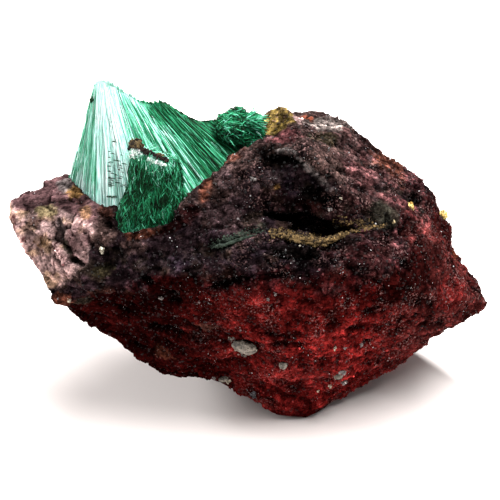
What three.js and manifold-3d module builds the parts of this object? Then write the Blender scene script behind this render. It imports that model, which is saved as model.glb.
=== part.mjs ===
// Malachite specimen: a silky fan of radiating malachite, with two smaller growths, on a broken piece
// of iron-stained matrix rock.
// Units are millimetres and +Z is up. The rock rests on z = 0, +X is to the right of its front, and
// the front faces -Y. The origin is under the middle of the specimen's bounding box.
import * as THREE from "three";
import { ConvexHull } from "three/addons/math/ConvexHull.js";
import { ImprovedNoise } from "three/addons/math/ImprovedNoise.js";
import { mergeVertices } from "three/addons/utils/BufferGeometryUtils.js";
import Module from "manifold-3d";

const wasm = await Module();
wasm.setup();

// ---- Driving dimensions ----------------------------------------------------------------------------

const CLEARANCE = 0.32; // gap left between a growth and the rock or growth that it sits in
const WELD = 1e-4; // vertices nearer than this are one
const HEART = [0, 0, 23]; // a point inside the rock that sees all of its skin
const ROCK_EDGE = 3.7; // longest triangle edge on the rock
const ROCK_ROUGHNESS = { wave: 13, height: 1.1, octaves: 3 };
const NOISE_SHIFT = 7.3; // moves the noise off its even points
const FLUTE_STEP = 0.7; // how fast the ridges down a growth change from one point round it to the next
const FOOT_FADE = 3.5; // roughness fades out over this height, so the resting face stays flat

// Corners of the rock's fracture faces, feature by feature.
const ROCK_CORNERS = [
  // the block at the left, from its tip round its flat top
  [-39.7, -4, 36.2], [-34.5, 1, 37.2], [-32, 2.6, 38], [-29.4, 5, 35.8], [-32.6, -8, 38.2],
  [-38.4, -6.5, 36],
  // its front face, its lower edge and the wall that it turns to the malachite
  [-38.9, -8, 33.4], [-36, -10.5, 27.2], [-33, -12.5, 22.4], [-28.6, -14.6, 28.6], [-25.6, -12, 36.6],
  [-33, -11.6, 31],
  // the ridge between the block and the malachite
  [-30.7, -0.7, 38.9], [-29, -3.2, 38.7], [-27.2, -5.4, 38.4], [-24.4, -9.9, 38.7], [-23.3, -12.7, 37.4],
  // its back
  [-36, 6, 33], [-34, 8, 24], [-30, 11, 32],
  // the rim in front of the malachite, from left to right
  [-22.6, -14.2, 35.6], [-19, -15, 37.5], [-13.2, -14.6, 38.6], [-11.4, -12.8, 41.2], [-7.8, -9.8, 43.8],
  [-3.4, -4, 45.2], [1.2, 1, 46.4],
  // the floor and the back of the hollow that holds the malachite
  [-21.6, -11.2, 35.3], [-17.8, -12.2, 36], [-13.6, -11.4, 37.2], [-9.6, -8, 40.8], [-18, -2, 33.5],
  [-9, 3, 37.5], [-21, 11, 32.5], [-9, 13, 36.5], [-1, 9, 42.5],
  // the summit and the long slope to the right tip
  [1.2, 6, 46.2], [3, 6, 48.2], [4.8, 6, 49.2], [9.6, 7, 45.9], [16.6, 7, 44.4], [22.8, 6, 39.6],
  [27.8, 5, 35.7], [29.5, 4, 32.8], [31.4, 3, 29.4], [33.4, 2, 24.6], [37.1, 1, 19.4], [40.1, 0, 13.9],
  // the ledge along the front of the flat top
  [0.2, -9, 46], [3.3, -8.5, 48.5], [8.2, -9.5, 49], [14.2, -12, 43.2], [22.8, -11, 38], [27.8, -6, 33.8],
  // the foot of the steep brow under the ledge
  [-7, -15, 38.6], [-1.5, -12.5, 38.8], [2.6, -11.6, 38.5], [8.7, -12, 38.2], [14.8, -12.6, 36.8],
  [20.8, -13.6, 34.4],
  // the shelf in front of it, and the edge where the front turns down and under
  [-2.6, -19, 35.6], [7.2, -19.8, 35.2], [16.6, -18.4, 33.4], [-27.6, -14.2, 25.2], [-20.2, -17, 27.6],
  [-12.6, -19, 31.4], [-4.6, -20, 32.4], [6, -21, 30.6], [16, -20, 28.8], [26.1, -15, 28.6],
  [32.2, -6, 26],
  // the front face, down to the toe
  [-6.6, -18.5, 22], [3.2, -20, 20], [14.2, -18.5, 18.5], [25.2, -13, 17], [33, -7, 14.6], [5.2, -17, 10],
  [15.2, -14.5, 9], [30.4, -11.4, 22], [36.1, -4.8, 18.6],
  // its lower edge, from the left block round the toe to the right tip
  [-28.8, -9, 17.2], [-23.8, -9.6, 13.8], [-19.4, -10, 9.8], [-15.9, -11, 7.8], [-7.6, -12, 8.2],
  [-2, -13, 8.3], [-0.4, -13.4, 4.6], [3.6, -13.8, 1], [14.1, -10.5, 2.2], [18.9, -8.2, 4.1],
  [25, -6.2, 6.5], [29.1, -4.5, 9.1], [30.2, -3, 12], [34.6, -2.6, 11.2],
  // the resting face
  [8.5, -13.4, 0], [4.2, -11, 0], [1.5, -6, 0], [-3.6, 1, 0], [-11, 7.5, 0], [-8, 13.5, 0],
  [5, 15.5, 0], [17, 12.5, 0], [19.5, 6, 0], [16, -1, 0], [12.2, -8.5, 0], [10.8, -11.6, 0],
  [5, 3, 0],
  // the underside of the left overhang and of the right tip
  [-17, 1, 6.8], [-24, 6, 12], [-19, 13, 7.5], [27, 5, 7], [34, 4, 11.5],
  // the back
  [-26, 16, 20], [-14, 19, 27], [-10, 19, 12], [1, 19.9, 34], [4, 20.4, 16], [10, 17, 43], [18, 18, 33],
  [20, 17.5, 18], [29, 12, 25], [27, 13, 11], [35, 6, 18], [-29, 12, 25.5], [2, 14.5, 43.5],
];

// The slit under the brow: its outline in the upright plane at the mouth, and how it runs in.
const SLIT = {
  lowerLip: [[-3.6, 35.8], [-1.5, 36], [2.4, 35.8], [7.7, 35.3], [11, 34.7], [14.6, 35], [18, 35.2]],
  upperLip: [[15.2, 37.2], [8.2, 39.1], [2.4, 39.4], [-1.6, 38.7]],
  mouth: -13,
  start: -22,
  end: -4,
  dip: 0.34, // it dips this much for each millimetre that it runs in
};

// The fan: fibres run straight out from the apex to a closed line round the foot, front first.
const FAN = {
  apex: [-25.6, 1, 56.9],
  foot: [
    [-30, 0.6, 37.6], [-27.2, -4.6, 35.4], [-22.4, -10.8, 33.2], [-17, -13.2, 34.4], [-11.8, -11.6, 37.8],
    [-8, -8.6, 40.2], [-3, -3, 43], [0.8, 3.6, 43.8], [-1.5, 7.5, 40.5], [-12, 9.5, 36],
    [-22, 7.5, 33.5], [-28.6, 4.5, 35.2],
  ],
  tipShare: 0.05, // the broken tip is this share of the way down
  brokenTowards: [0.8, 3.6, 43.8], // fibres that run to this part of the foot are broken further down
  brokenShare: 0.46,
  brokenSpread: 9,
  bury: 1.07,
  around: 64,
  rows: 4,
  flute: 0.9,
};

// The upright bundle in front of the fan, from its top line to its bottom line.
const BUNDLE = {
  top: [[-19.7, -8.6, 48.3], [-17, -9.8, 47.8], [-13.2, -8.7, 46.1], [-12.6, -5.4, 44.8], [-17, -4.6, 46.8],
    [-19.8, -5.6, 47.2]],
  bottom: [[-22, -12.6, 34.6], [-18, -13.4, 35.2], [-13.6, -12.8, 37], [-10.9, -11.2, 40], [-12.4, -8.8, 37],
    [-17.5, -8.5, 34.4], [-21.6, -9.3, 33.4]],
  around: 30,
  rows: 3,
  flute: 0.6,
};

// Small growths: where each sits, its half sizes, its turn and how uneven it is.
const TUFT = {
  at: [-2.7, 1.6, 46.9],
  half: [4.2, 3.1, 3.1],
  turn: [0, 0.35, -0.3],
  wave: 2.4,
  height: 1.1,
  detail: 4,
};
const CAP = {
  at: [-18.4, -8.4, 49.3],
  half: [1.5, 1.3, 1.3],
  turn: [0, 0.35, 0],
  wave: 1.2,
  height: 0.35,
  detail: 2,
};

// Patches and grains set in the rock: near which point, and half sizes along the face and out of it.
const PATCHES = {
  quartz_inclusion: { at: [-1.8, -17.3, 16.5], half: [2.3, 1.5, 0.8], roll: -0.35 },
  grey_grain_middle: { at: [4.4, -18.4, 14.6], half: [0.75, 0.65, 0.6], roll: 0 },
  grey_grain_right: { at: [13.8, -14.9, 9.6], half: [0.8, 0.75, 0.6], roll: 0.6 },
  grey_grain_left: { at: [-5.3, -13.1, 7.6], half: [0.95, 0.6, 0.55], roll: 0.2 },
  ochre_grain_front: { at: [24.3, -4.6, 35.6], half: [0.85, 0.8, 0.7], roll: 0 },
  ochre_grain_edge: { at: [31.2, 2.6, 30.4], half: [0.8, 0.75, 0.7], roll: 0.4 },
};

const PATCH_UNEVEN = 0.25; // how uneven a patch is, as a share of its thickness

// Crusts along the slit's lips: a line of points near the skin, and the half height and thickness.
const CRUSTS = {
  slit_limonite_crust: {
    line: [[2.2, -15.2, 37], [4.6, -15.7, 36.8], [7.4, -16.1, 36.4], [10.2, -16.2, 35.7], [12.9, -14.6, 35.8],
      [15.2, -13.7, 36.2], [17.6, -12.8, 36.4]],
    half: [0.8, 0.75],
  },
  slit_malachite_vein: {
    line: [[-7, -17, 35.3], [-4.6, -17.1, 36], [-2.1, -16.4, 36.6], [0.5, -15.4, 37.1]],
    half: [0.5, 0.5],
  },
};

const CRUST = {
  steps: 4, // rings between two points of its line
  sides: 7,
  tip: 0.35, // its size at both ends, as a share
  uneven: 0.3,
  wave: 2.2,
};

const COLOURS = {
  rock: 0x4b1a18,
  malachite: 0x2f9468,
  darkMalachite: 0x1c5c38,
  limonite: 0x8f6f35,
  brownCrust: 0x5c3a22,
  quartz: 0xa9a196,
  ochreGrain: 0xd6b86a,
};

// ---- Shapes ----------------------------------------------------------------------------------------

const noise = new ImprovedNoise();
const vector = (p) => new THREE.Vector3(...p);

// Layered noise at a point, about -1 to 1; each octave halves the wavelength and the height.
function layeredNoise(p, wave, octaves) {
  let sum = 0;
  for (let i = 0; i < octaves; i++) {
    const k = 2 ** i / wave;
    sum += noise.noise(p.x * k + NOISE_SHIFT * i, p.y * k + NOISE_SHIFT, p.z * k - NOISE_SHIFT) / 2 ** i;
  }
  return sum;
}

// Triangles that join the corners into one closed skin, as they lie round the heart.
function skinTriangles(corners, heart) {
  const directions = corners.map((p) => p.clone().sub(heart).normalize());
  const hull = new ConvexHull().setFromPoints(directions);
  return hull.faces.map((face) => {
    const start = face.edge;
    return [start, start.next, start.next.next].map((edge) => directions.indexOf(edge.head().point));
  });
}

// Splits every edge longer than the limit at its middle, until none is left.
function refine(points, triangles, longest) {
  let current = triangles;
  for (let again = true; again; ) {
    again = false;
    const middles = new Map();
    const middle = (a, b) => {
      if (points[a].distanceTo(points[b]) <= longest) return -1;
      const key = a < b ? `${a},${b}` : `${b},${a}`;
      if (!middles.has(key)) {
        middles.set(key, points.length);
        points.push(points[a].clone().add(points[b]).multiplyScalar(0.5));
      }
      return middles.get(key);
    };
    const split = [];
    for (const [a, b, c] of current) {
      const m = [middle(a, b), middle(b, c), middle(c, a)];
      const count = m.filter((i) => i >= 0).length;
      again ||= count > 0;
      if (count === 0) split.push([a, b, c]);
      if (count === 3) split.push([a, m[0], m[2]], [m[0], b, m[1]], [m[2], m[1], c], m);
      if (count === 0 || count === 3) continue;
      // Turn the triangle so that its first edge is split, and its last one is whole.
      let corners = [a, b, c];
      let mid = m;
      while (mid[0] < 0 || mid[2] >= 0) {
        corners = [corners[1], corners[2], corners[0]];
        mid = [mid[1], mid[2], mid[0]];
      }
      const [first, second, third] = corners;
      split.push([first, mid[0], third]);
      if (count === 1) split.push([mid[0], second, third]);
      else split.push([mid[0], mid[1], third], [mid[0], second, mid[1]]);
    }
    current = split;
  }
  return current;
}

function geometryOf(points, triangles) {
  const geometry = new THREE.BufferGeometry().setFromPoints(points).setIndex(triangles.flat());
  geometry.computeVertexNormals();
  return geometry;
}

// Moves each vertex along its normal by amount(point), in place.
function displace(geometry, amount) {
  const { position, normal } = geometry.attributes;
  const p = new THREE.Vector3();
  const n = new THREE.Vector3();
  for (let i = 0; i < position.count; i++) {
    p.fromBufferAttribute(position, i);
    n.fromBufferAttribute(normal, i);
    p.addScaledVector(n, amount(p));
    position.setXYZ(i, p.x, p.y, p.z);
  }
  geometry.computeVertexNormals();
  return geometry;
}

const grown = (geometry, by) => displace(geometry.clone(), () => by);

// The rock's skin between its corners, roughened, with its resting face left flat.
function rockGeometry() {
  const points = ROCK_CORNERS.map(vector);
  const triangles = refine(points, skinTriangles(points, vector(HEART)), ROCK_EDGE);
  const { wave, height, octaves } = ROCK_ROUGHNESS;
  const rock = displace(geometryOf(points, triangles), (p) =>
    height * layeredNoise(p, wave, octaves) * THREE.MathUtils.smoothstep(p.z, 0, FOOT_FADE));
  const { position } = rock.attributes;
  for (let i = 0; i < position.count; i++) position.setZ(i, Math.max(0, position.getZ(i)));
  rock.computeVertexNormals();
  return rock;
}

const middleOf = (points) =>
  points.reduce((sum, p) => sum.add(p), new THREE.Vector3()).divideScalar(points.length);

// A closed body through rings of points, each ring a list of the same length. Each end closes on a
// point, which is the middle of its ring unless it is given.
function ringsGeometry(rings, start = middleOf(rings[0]), end = middleOf(rings.at(-1))) {
  const around = rings[0].length;
  const points = rings.flat();
  const triangles = [];
  for (let r = 0; r + 1 < rings.length; r++) {
    for (let i = 0; i < around; i++) {
      const a = r * around + i;
      const b = r * around + ((i + 1) % around);
      triangles.push([a, a + around, b + around], [a, b + around, b]);
    }
  }
  const last = (rings.length - 1) * around;
  const tip = points.push(start, end) - 2;
  for (let i = 0; i < around; i++) {
    const next = (i + 1) % around;
    triangles.push([tip, i, next], [tip + 1, last + next, last + i]);
  }
  return geometryOf(points, triangles);
}

// Points spread evenly along a smooth closed line.
function closedLine(corners, count) {
  const curve = new THREE.CatmullRomCurve3(corners.map(vector), true, "centripetal");
  return curve.getSpacedPoints(count).slice(0, count);
}

// Long ridges that run down a growth: the same at every height, from one line to the next.
function flute(line, index, depth, gap) {
  const out = line[index].clone().sub(middleOf(line)).normalize();
  const ridge = depth * noise.noise(index * FLUTE_STEP, NOISE_SHIFT, NOISE_SHIFT);
  return line[index].clone().addScaledVector(out, gap + ridge);
}

// The fan, or the fan made larger by a gap.
function fanGeometry(gap) {
  const { apex, foot, tipShare, brokenTowards, brokenShare, brokenSpread, bury, around, rows } = FAN;
  const line = closedLine(foot, around);
  const fluted = line.map((_, i) => flute(line, i, FAN.flute, gap));
  const tips = line.map((p) => {
    const near = Math.exp(-((p.distanceTo(vector(brokenTowards)) / brokenSpread) ** 2));
    return tipShare + (brokenShare - tipShare) * near;
  });
  // The foot is part of a ball round the apex, because the fibres grew out from there.
  const reach = middleOf(fluted).sub(vector(apex)).normalize();
  const radius = fluted.reduce((sum, p) => sum + p.distanceTo(vector(apex)), 0) / around;
  const last = bury + gap / radius;
  const rings = Array.from({ length: rows + 1 }, (_, r) =>
    fluted.map((p, i) => vector(apex).lerp(p, tips[i] + (last - tips[i]) * (r / rows))));
  return ringsGeometry(rings, undefined, vector(apex).addScaledVector(reach, radius * last + gap));
}

// The bundle, or the bundle made larger by a gap.
function bundleGeometry(gap) {
  const { top, bottom, around, rows } = BUNDLE;
  const [upper, lower] = [top, bottom].map((corners) => {
    const line = closedLine(corners, around);
    return line.map((_, i) => flute(line, i, BUNDLE.flute, gap));
  });
  const longer = gap / middleOf(upper).distanceTo(middleOf(lower));
  const rings = Array.from({ length: rows + 1 }, (_, r) => {
    const share = -longer + (1 + 2 * longer) * (r / rows);
    return upper.map((p, i) => p.clone().lerp(lower[i], share));
  });
  return ringsGeometry(rings);
}

// An uneven round lump.
function lumpGeometry({ half, wave, height, detail }) {
  const ball = new THREE.IcosahedronGeometry(1, detail);
  ball.deleteAttribute("normal");
  ball.deleteAttribute("uv");
  const lump = mergeVertices(ball, WELD);
  lump.scale(...half);
  lump.computeVertexNormals();
  return displace(lump, (p) => height * layeredNoise(p, wave, 2));
}

const placed = (geometry, at, turn) =>
  geometry.applyMatrix4(new THREE.Matrix4().compose(at, turn, vector([1, 1, 1])));

function placedLump(lump) {
  const turn = new THREE.Quaternion().setFromEuler(new THREE.Euler(...lump.turn));
  return placed(lumpGeometry(lump), vector(lump.at), turn);
}

// Where the line from the heart through a point leaves the rock, and which way the rock faces there.
function onSkin(rock, point) {
  const from = vector(HEART);
  const ray = new THREE.Raycaster(from, vector(point).sub(from).normalize());
  const [hit] = ray.intersectObject(rock);
  return { point: hit.point, normal: hit.face.normal.clone() };
}

function patchGeometry(rock, { at, half, roll }) {
  const { point, normal } = onSkin(rock, at);
  const patch = lumpGeometry({ half, wave: half[0], height: PATCH_UNEVEN * half[2], detail: 1 });
  const up = vector([0, 0, 1]);
  const turn = new THREE.Quaternion().setFromUnitVectors(up, normal);
  turn.multiply(new THREE.Quaternion().setFromAxisAngle(up, roll));
  return placed(patch, point, turn);
}

// A crust that follows a line over the rock, thinning to both ends. Its rings stand across x.
function crustGeometry(rock, { line, half: [high, thick] }) {
  const curve = new THREE.CatmullRomCurve3(line.map((p) => onSkin(rock, p).point));
  const steps = CRUST.steps * (line.length - 1);
  const rings = Array.from({ length: steps + 1 }, (_, s) => {
    const at = s / steps;
    const centre = curve.getPointAt(at);
    const taper = THREE.MathUtils.lerp(CRUST.tip, 1, Math.sqrt(Math.sin(Math.PI * at)));
    const swell = taper * (1 + CRUST.uneven * layeredNoise(centre, CRUST.wave, 2));
    return Array.from({ length: CRUST.sides }, (_, i) => {
      const angle = (2 * Math.PI * i) / CRUST.sides;
      const offset = [0, thick * Math.sin(angle), high * Math.cos(angle)];
      return centre.clone().addScaledVector(vector(offset), swell);
    });
  });
  return ringsGeometry(rings);
}

// The slit as a solid to cut away.
function slitGeometry() {
  const { lowerLip, upperLip, mouth, start, end, dip } = SLIT;
  const outline = new THREE.Shape([...lowerLip, ...upperLip].map(([x, z]) => new THREE.Vector2(x, z)));
  const slit = new THREE.ExtrudeGeometry(outline, { depth: end - start, bevelEnabled: false });
  // The outline stands in x and z, and the extrusion runs from the end out to the front.
  const drop = dip * (end - mouth);
  slit.applyMatrix4(new THREE.Matrix4().set(1, 0, 0, 0, 0, 0, -1, end, 0, 1, dip, -drop, 0, 0, 0, 1));
  return slit;
}

// ---- Solids ----------------------------------------------------------------------------------------

function solidOf(geometry) {
  const bare = geometry.clone();
  for (const name of Object.keys(bare.attributes)) if (name !== "position") bare.deleteAttribute(name);
  const merged = mergeVertices(bare, WELD);
  const mesh = new wasm.Mesh({
    numProp: 3,
    vertProperties: merged.attributes.position.array,
    triVerts: new Uint32Array(merged.index.array),
  });
  return new wasm.Manifold(mesh);
}

// The largest body of a solid, because a cut can leave crumbs.
function largest(solid) {
  return solid.decompose().sort((a, b) => b.volume() - a.volume())[0];
}

function meshOf(name, solid, colour, roughness) {
  const { numProp, numVert, vertProperties, triVerts } = largest(solid).getMesh();
  const position = new Float32Array(numVert * 3);
  for (let i = 0; i < numVert; i++) {
    position.set(vertProperties.subarray(i * numProp, i * numProp + 3), i * 3);
  }
  const geometry = new THREE.BufferGeometry()
    .setAttribute("position", new THREE.BufferAttribute(position, 3))
    .setIndex(new THREE.BufferAttribute(triVerts, 1));
  geometry.computeVertexNormals();
  const material = new THREE.MeshStandardMaterial({ color: colour, roughness, metalness: 0 });
  const mesh = new THREE.Mesh(geometry, material);
  mesh.name = name;
  return mesh;
}

// ---- The specimen ----------------------------------------------------------------------------------

const skin = rockGeometry();
const skinMesh = new THREE.Mesh(skin, new THREE.MeshBasicMaterial({ side: THREE.DoubleSide }));

// A growth that is cut later in this list gives way to each growth before it.
const growths = [
  ["malachite_front_crust", (gap) => grown(placedLump(CAP), gap), COLOURS.brownCrust, 0.9],
  ["malachite_front_bundle", bundleGeometry, COLOURS.darkMalachite, 0.5],
  ["malachite_rear_tuft", (gap) => grown(placedLump(TUFT), gap), COLOURS.malachite, 0.45],
  ["malachite_fan", fanGeometry, COLOURS.malachite, 0.35],
  ...Object.entries(CRUSTS).map(([name, crust]) =>
    [name, (gap) => grown(crustGeometry(skinMesh, crust), gap),
      name.includes("vein") ? COLOURS.darkMalachite : COLOURS.limonite, 0.9]),
  ...Object.entries(PATCHES).map(([name, patch]) =>
    [name, (gap) => grown(patchGeometry(skinMesh, patch), gap),
      name.startsWith("ochre") ? COLOURS.ochreGrain : COLOURS.quartz, 0.7]),
];

const specimen = new THREE.Group();
let rock = solidOf(skin).subtract(solidOf(slitGeometry()));
let taken = null;
for (const [name, shape, colour, roughness] of growths) {
  const whole = solidOf(shape(0));
  const own = taken ? whole.subtract(taken) : whole;
  specimen.add(meshOf(name, own, colour, roughness));
  const socket = solidOf(shape(CLEARANCE));
  taken = taken ? taken.add(socket) : socket;
  rock = rock.subtract(socket);
}
specimen.add(meshOf("matrix_rock", rock, COLOURS.rock, 0.95));

export default specimen;
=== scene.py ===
"""Looks of the malachite specimen: fibrous malachite on a broken piece of iron-stained rock.

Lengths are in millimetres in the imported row's frame, and become metres only when a mesh is written."""
import itertools
import math

import bpy
import numpy as np
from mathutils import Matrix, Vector
from mathutils.bvhtree import BVHTree
from mathutils.kdtree import KDTree


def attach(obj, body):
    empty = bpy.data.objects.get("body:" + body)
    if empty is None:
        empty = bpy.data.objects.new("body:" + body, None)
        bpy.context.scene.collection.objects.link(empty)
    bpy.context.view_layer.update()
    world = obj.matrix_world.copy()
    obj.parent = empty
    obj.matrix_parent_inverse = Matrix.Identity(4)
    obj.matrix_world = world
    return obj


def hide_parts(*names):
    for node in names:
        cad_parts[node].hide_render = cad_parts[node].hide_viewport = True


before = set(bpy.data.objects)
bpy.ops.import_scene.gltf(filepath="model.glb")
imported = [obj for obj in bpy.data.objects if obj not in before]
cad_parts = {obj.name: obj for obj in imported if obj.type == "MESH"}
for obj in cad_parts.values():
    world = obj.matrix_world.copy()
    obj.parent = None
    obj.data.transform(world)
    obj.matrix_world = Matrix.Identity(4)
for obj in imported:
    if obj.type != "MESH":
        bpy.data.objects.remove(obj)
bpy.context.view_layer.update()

MM = 0.001
BODY = "root"

# ---- View ----

PICTURE = 500  # pixels along each side of the picture
VIEW_TARGET = np.array([-0.8, 0, 25.1])
VIEW_ELEVATION = math.radians(30)
VIEW_DISTANCE = 350
PIXELS_PER_MM = 5.94  # at the target
SENSOR = 36  # the camera's sensor, in millimetres, as its lens is

VIEW_BACK = np.array([0, -math.cos(VIEW_ELEVATION), math.sin(VIEW_ELEVATION)])
VIEW_UP = np.array([0, math.sin(VIEW_ELEVATION), math.cos(VIEW_ELEVATION)])
EYE = VIEW_TARGET + VIEW_DISTANCE * VIEW_BACK

# ---- The rock's relief ----

ROCK_VOXEL = 0.39  # the width of the quads that the rock is made of
ROCK_SMOOTHING = 4  # rounds of smoothing that take away the CAD's flat triangles
BLOCK_SMOOTHING = 1  # the same for the block at the left, which keeps its flat faces
BLOCK_TIP = np.array([-40.5, -3, 31])  # the block's left tip, which is drawn out a little
BLOCK_TIP_REACH = 4
BLOCK_TIP_PULL = np.array([-0.7, 0, 0.3])
SLIT_PLUG = np.array([-1.5, -11.5, 36.2])  # a wedge of rock that makes the slit's left end shallow
SLIT_PLUG_HALF = np.array([8, 4.2, 2.6])
FOOT_FADE = (0.15, 2.2)  # relief grows in between these heights, so the resting face stays flat

ROCK_GRAIN = (0.6, 0, -0.8)  # small chips are drawn out along this way, down to the right
BLOCK_CLEAVAGE = (0.62, 0, -0.78)  # the block splits along planes that dip to the right
# The block's plates: the wave and the seed of their cells, how far they stand out, and the width, the
# depth and the darkness of the cracks between them.
# The darkness is painted shade in the cracks.
BLOCK_PLATES = [
    (4.8, 41, 0.4, 0.045, 0.22, 1.0),
    (1.9, 43, 0.1, 0.06, 0.1, 0.6),
]

# The edge where the front turns down and under: its height at each place across.
FRONT_EDGE_ACROSS = [-32, -27.6, -20.2, -12.6, -4.2, 0.8, 6.7, 16.8, 24, 30, 36]
FRONT_EDGE_HEIGHT = [21.5, 24.6, 27.2, 29.7, 30.5, 30.5, 30.5, 30.2, 30.5, 33, 34]

# The pink block's right and lower edge: how far across it is, at each height.
BLOCK_EDGE_HEIGHT = [22, 24.5, 26.3, 31, 36, 40]
BLOCK_EDGE_ACROSS = [-37.5, -33.2, -30.4, -27.5, -25.3, -24.5]

# ---- The rock's colours, linear ----

ROCK_COLOURS = {
    "deep red": (0.013, 0.0013, 0.0012),
    "red": (0.1, 0.0072, 0.0066),
    "bright red": (0.19, 0.02, 0.018),
    "orange red": (0.3, 0.07, 0.03),
    "violet": (0.0115, 0.0065, 0.0078),
    "bright violet": (0.019, 0.0125, 0.021),
    "olive": (0.018, 0.015, 0.0075),
    "brown red": (0.075, 0.024, 0.014),
    "rim red": (0.075, 0.03, 0.022),
    "red black": (0.009, 0.0025, 0.0025),
    "brown": (0.028, 0.016, 0.0105),
    "brown grey": (0.054, 0.032, 0.028),
    "black": (0.0035, 0.0025, 0.0025),
    "grey violet": (0.034, 0.022, 0.024),
    "pink": (0.42, 0.275, 0.26),
    "maroon": (0.115, 0.06, 0.062),
    "mauve grey": (0.26, 0.21, 0.19),
    "ochre": (0.16, 0.107, 0.03),
    "gold": (0.3, 0.16, 0.05),
    "yellow grey": (0.36, 0.28, 0.15),
    "pale grey": (0.24, 0.21, 0.2),
    "blue grey": (0.13, 0.13, 0.14),
    "grey green": (0.018, 0.018, 0.013),
    "dark green": (0.01, 0.03, 0.012),
    "vein green": (0.009, 0.02, 0.012),
    "red violet": (0.06, 0.02, 0.021),
    "dull red": (0.055, 0.0125, 0.0115),
    "cream": (0.5, 0.44, 0.34),
    "ochre pink": (0.4, 0.25, 0.14),
    "dark vein": (0.06, 0.022, 0.022),
}
DUST = (0.3, 0.17, 0.16)
LIT_CRYSTAL = (0.4, 0.36, 0.36)
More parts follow.
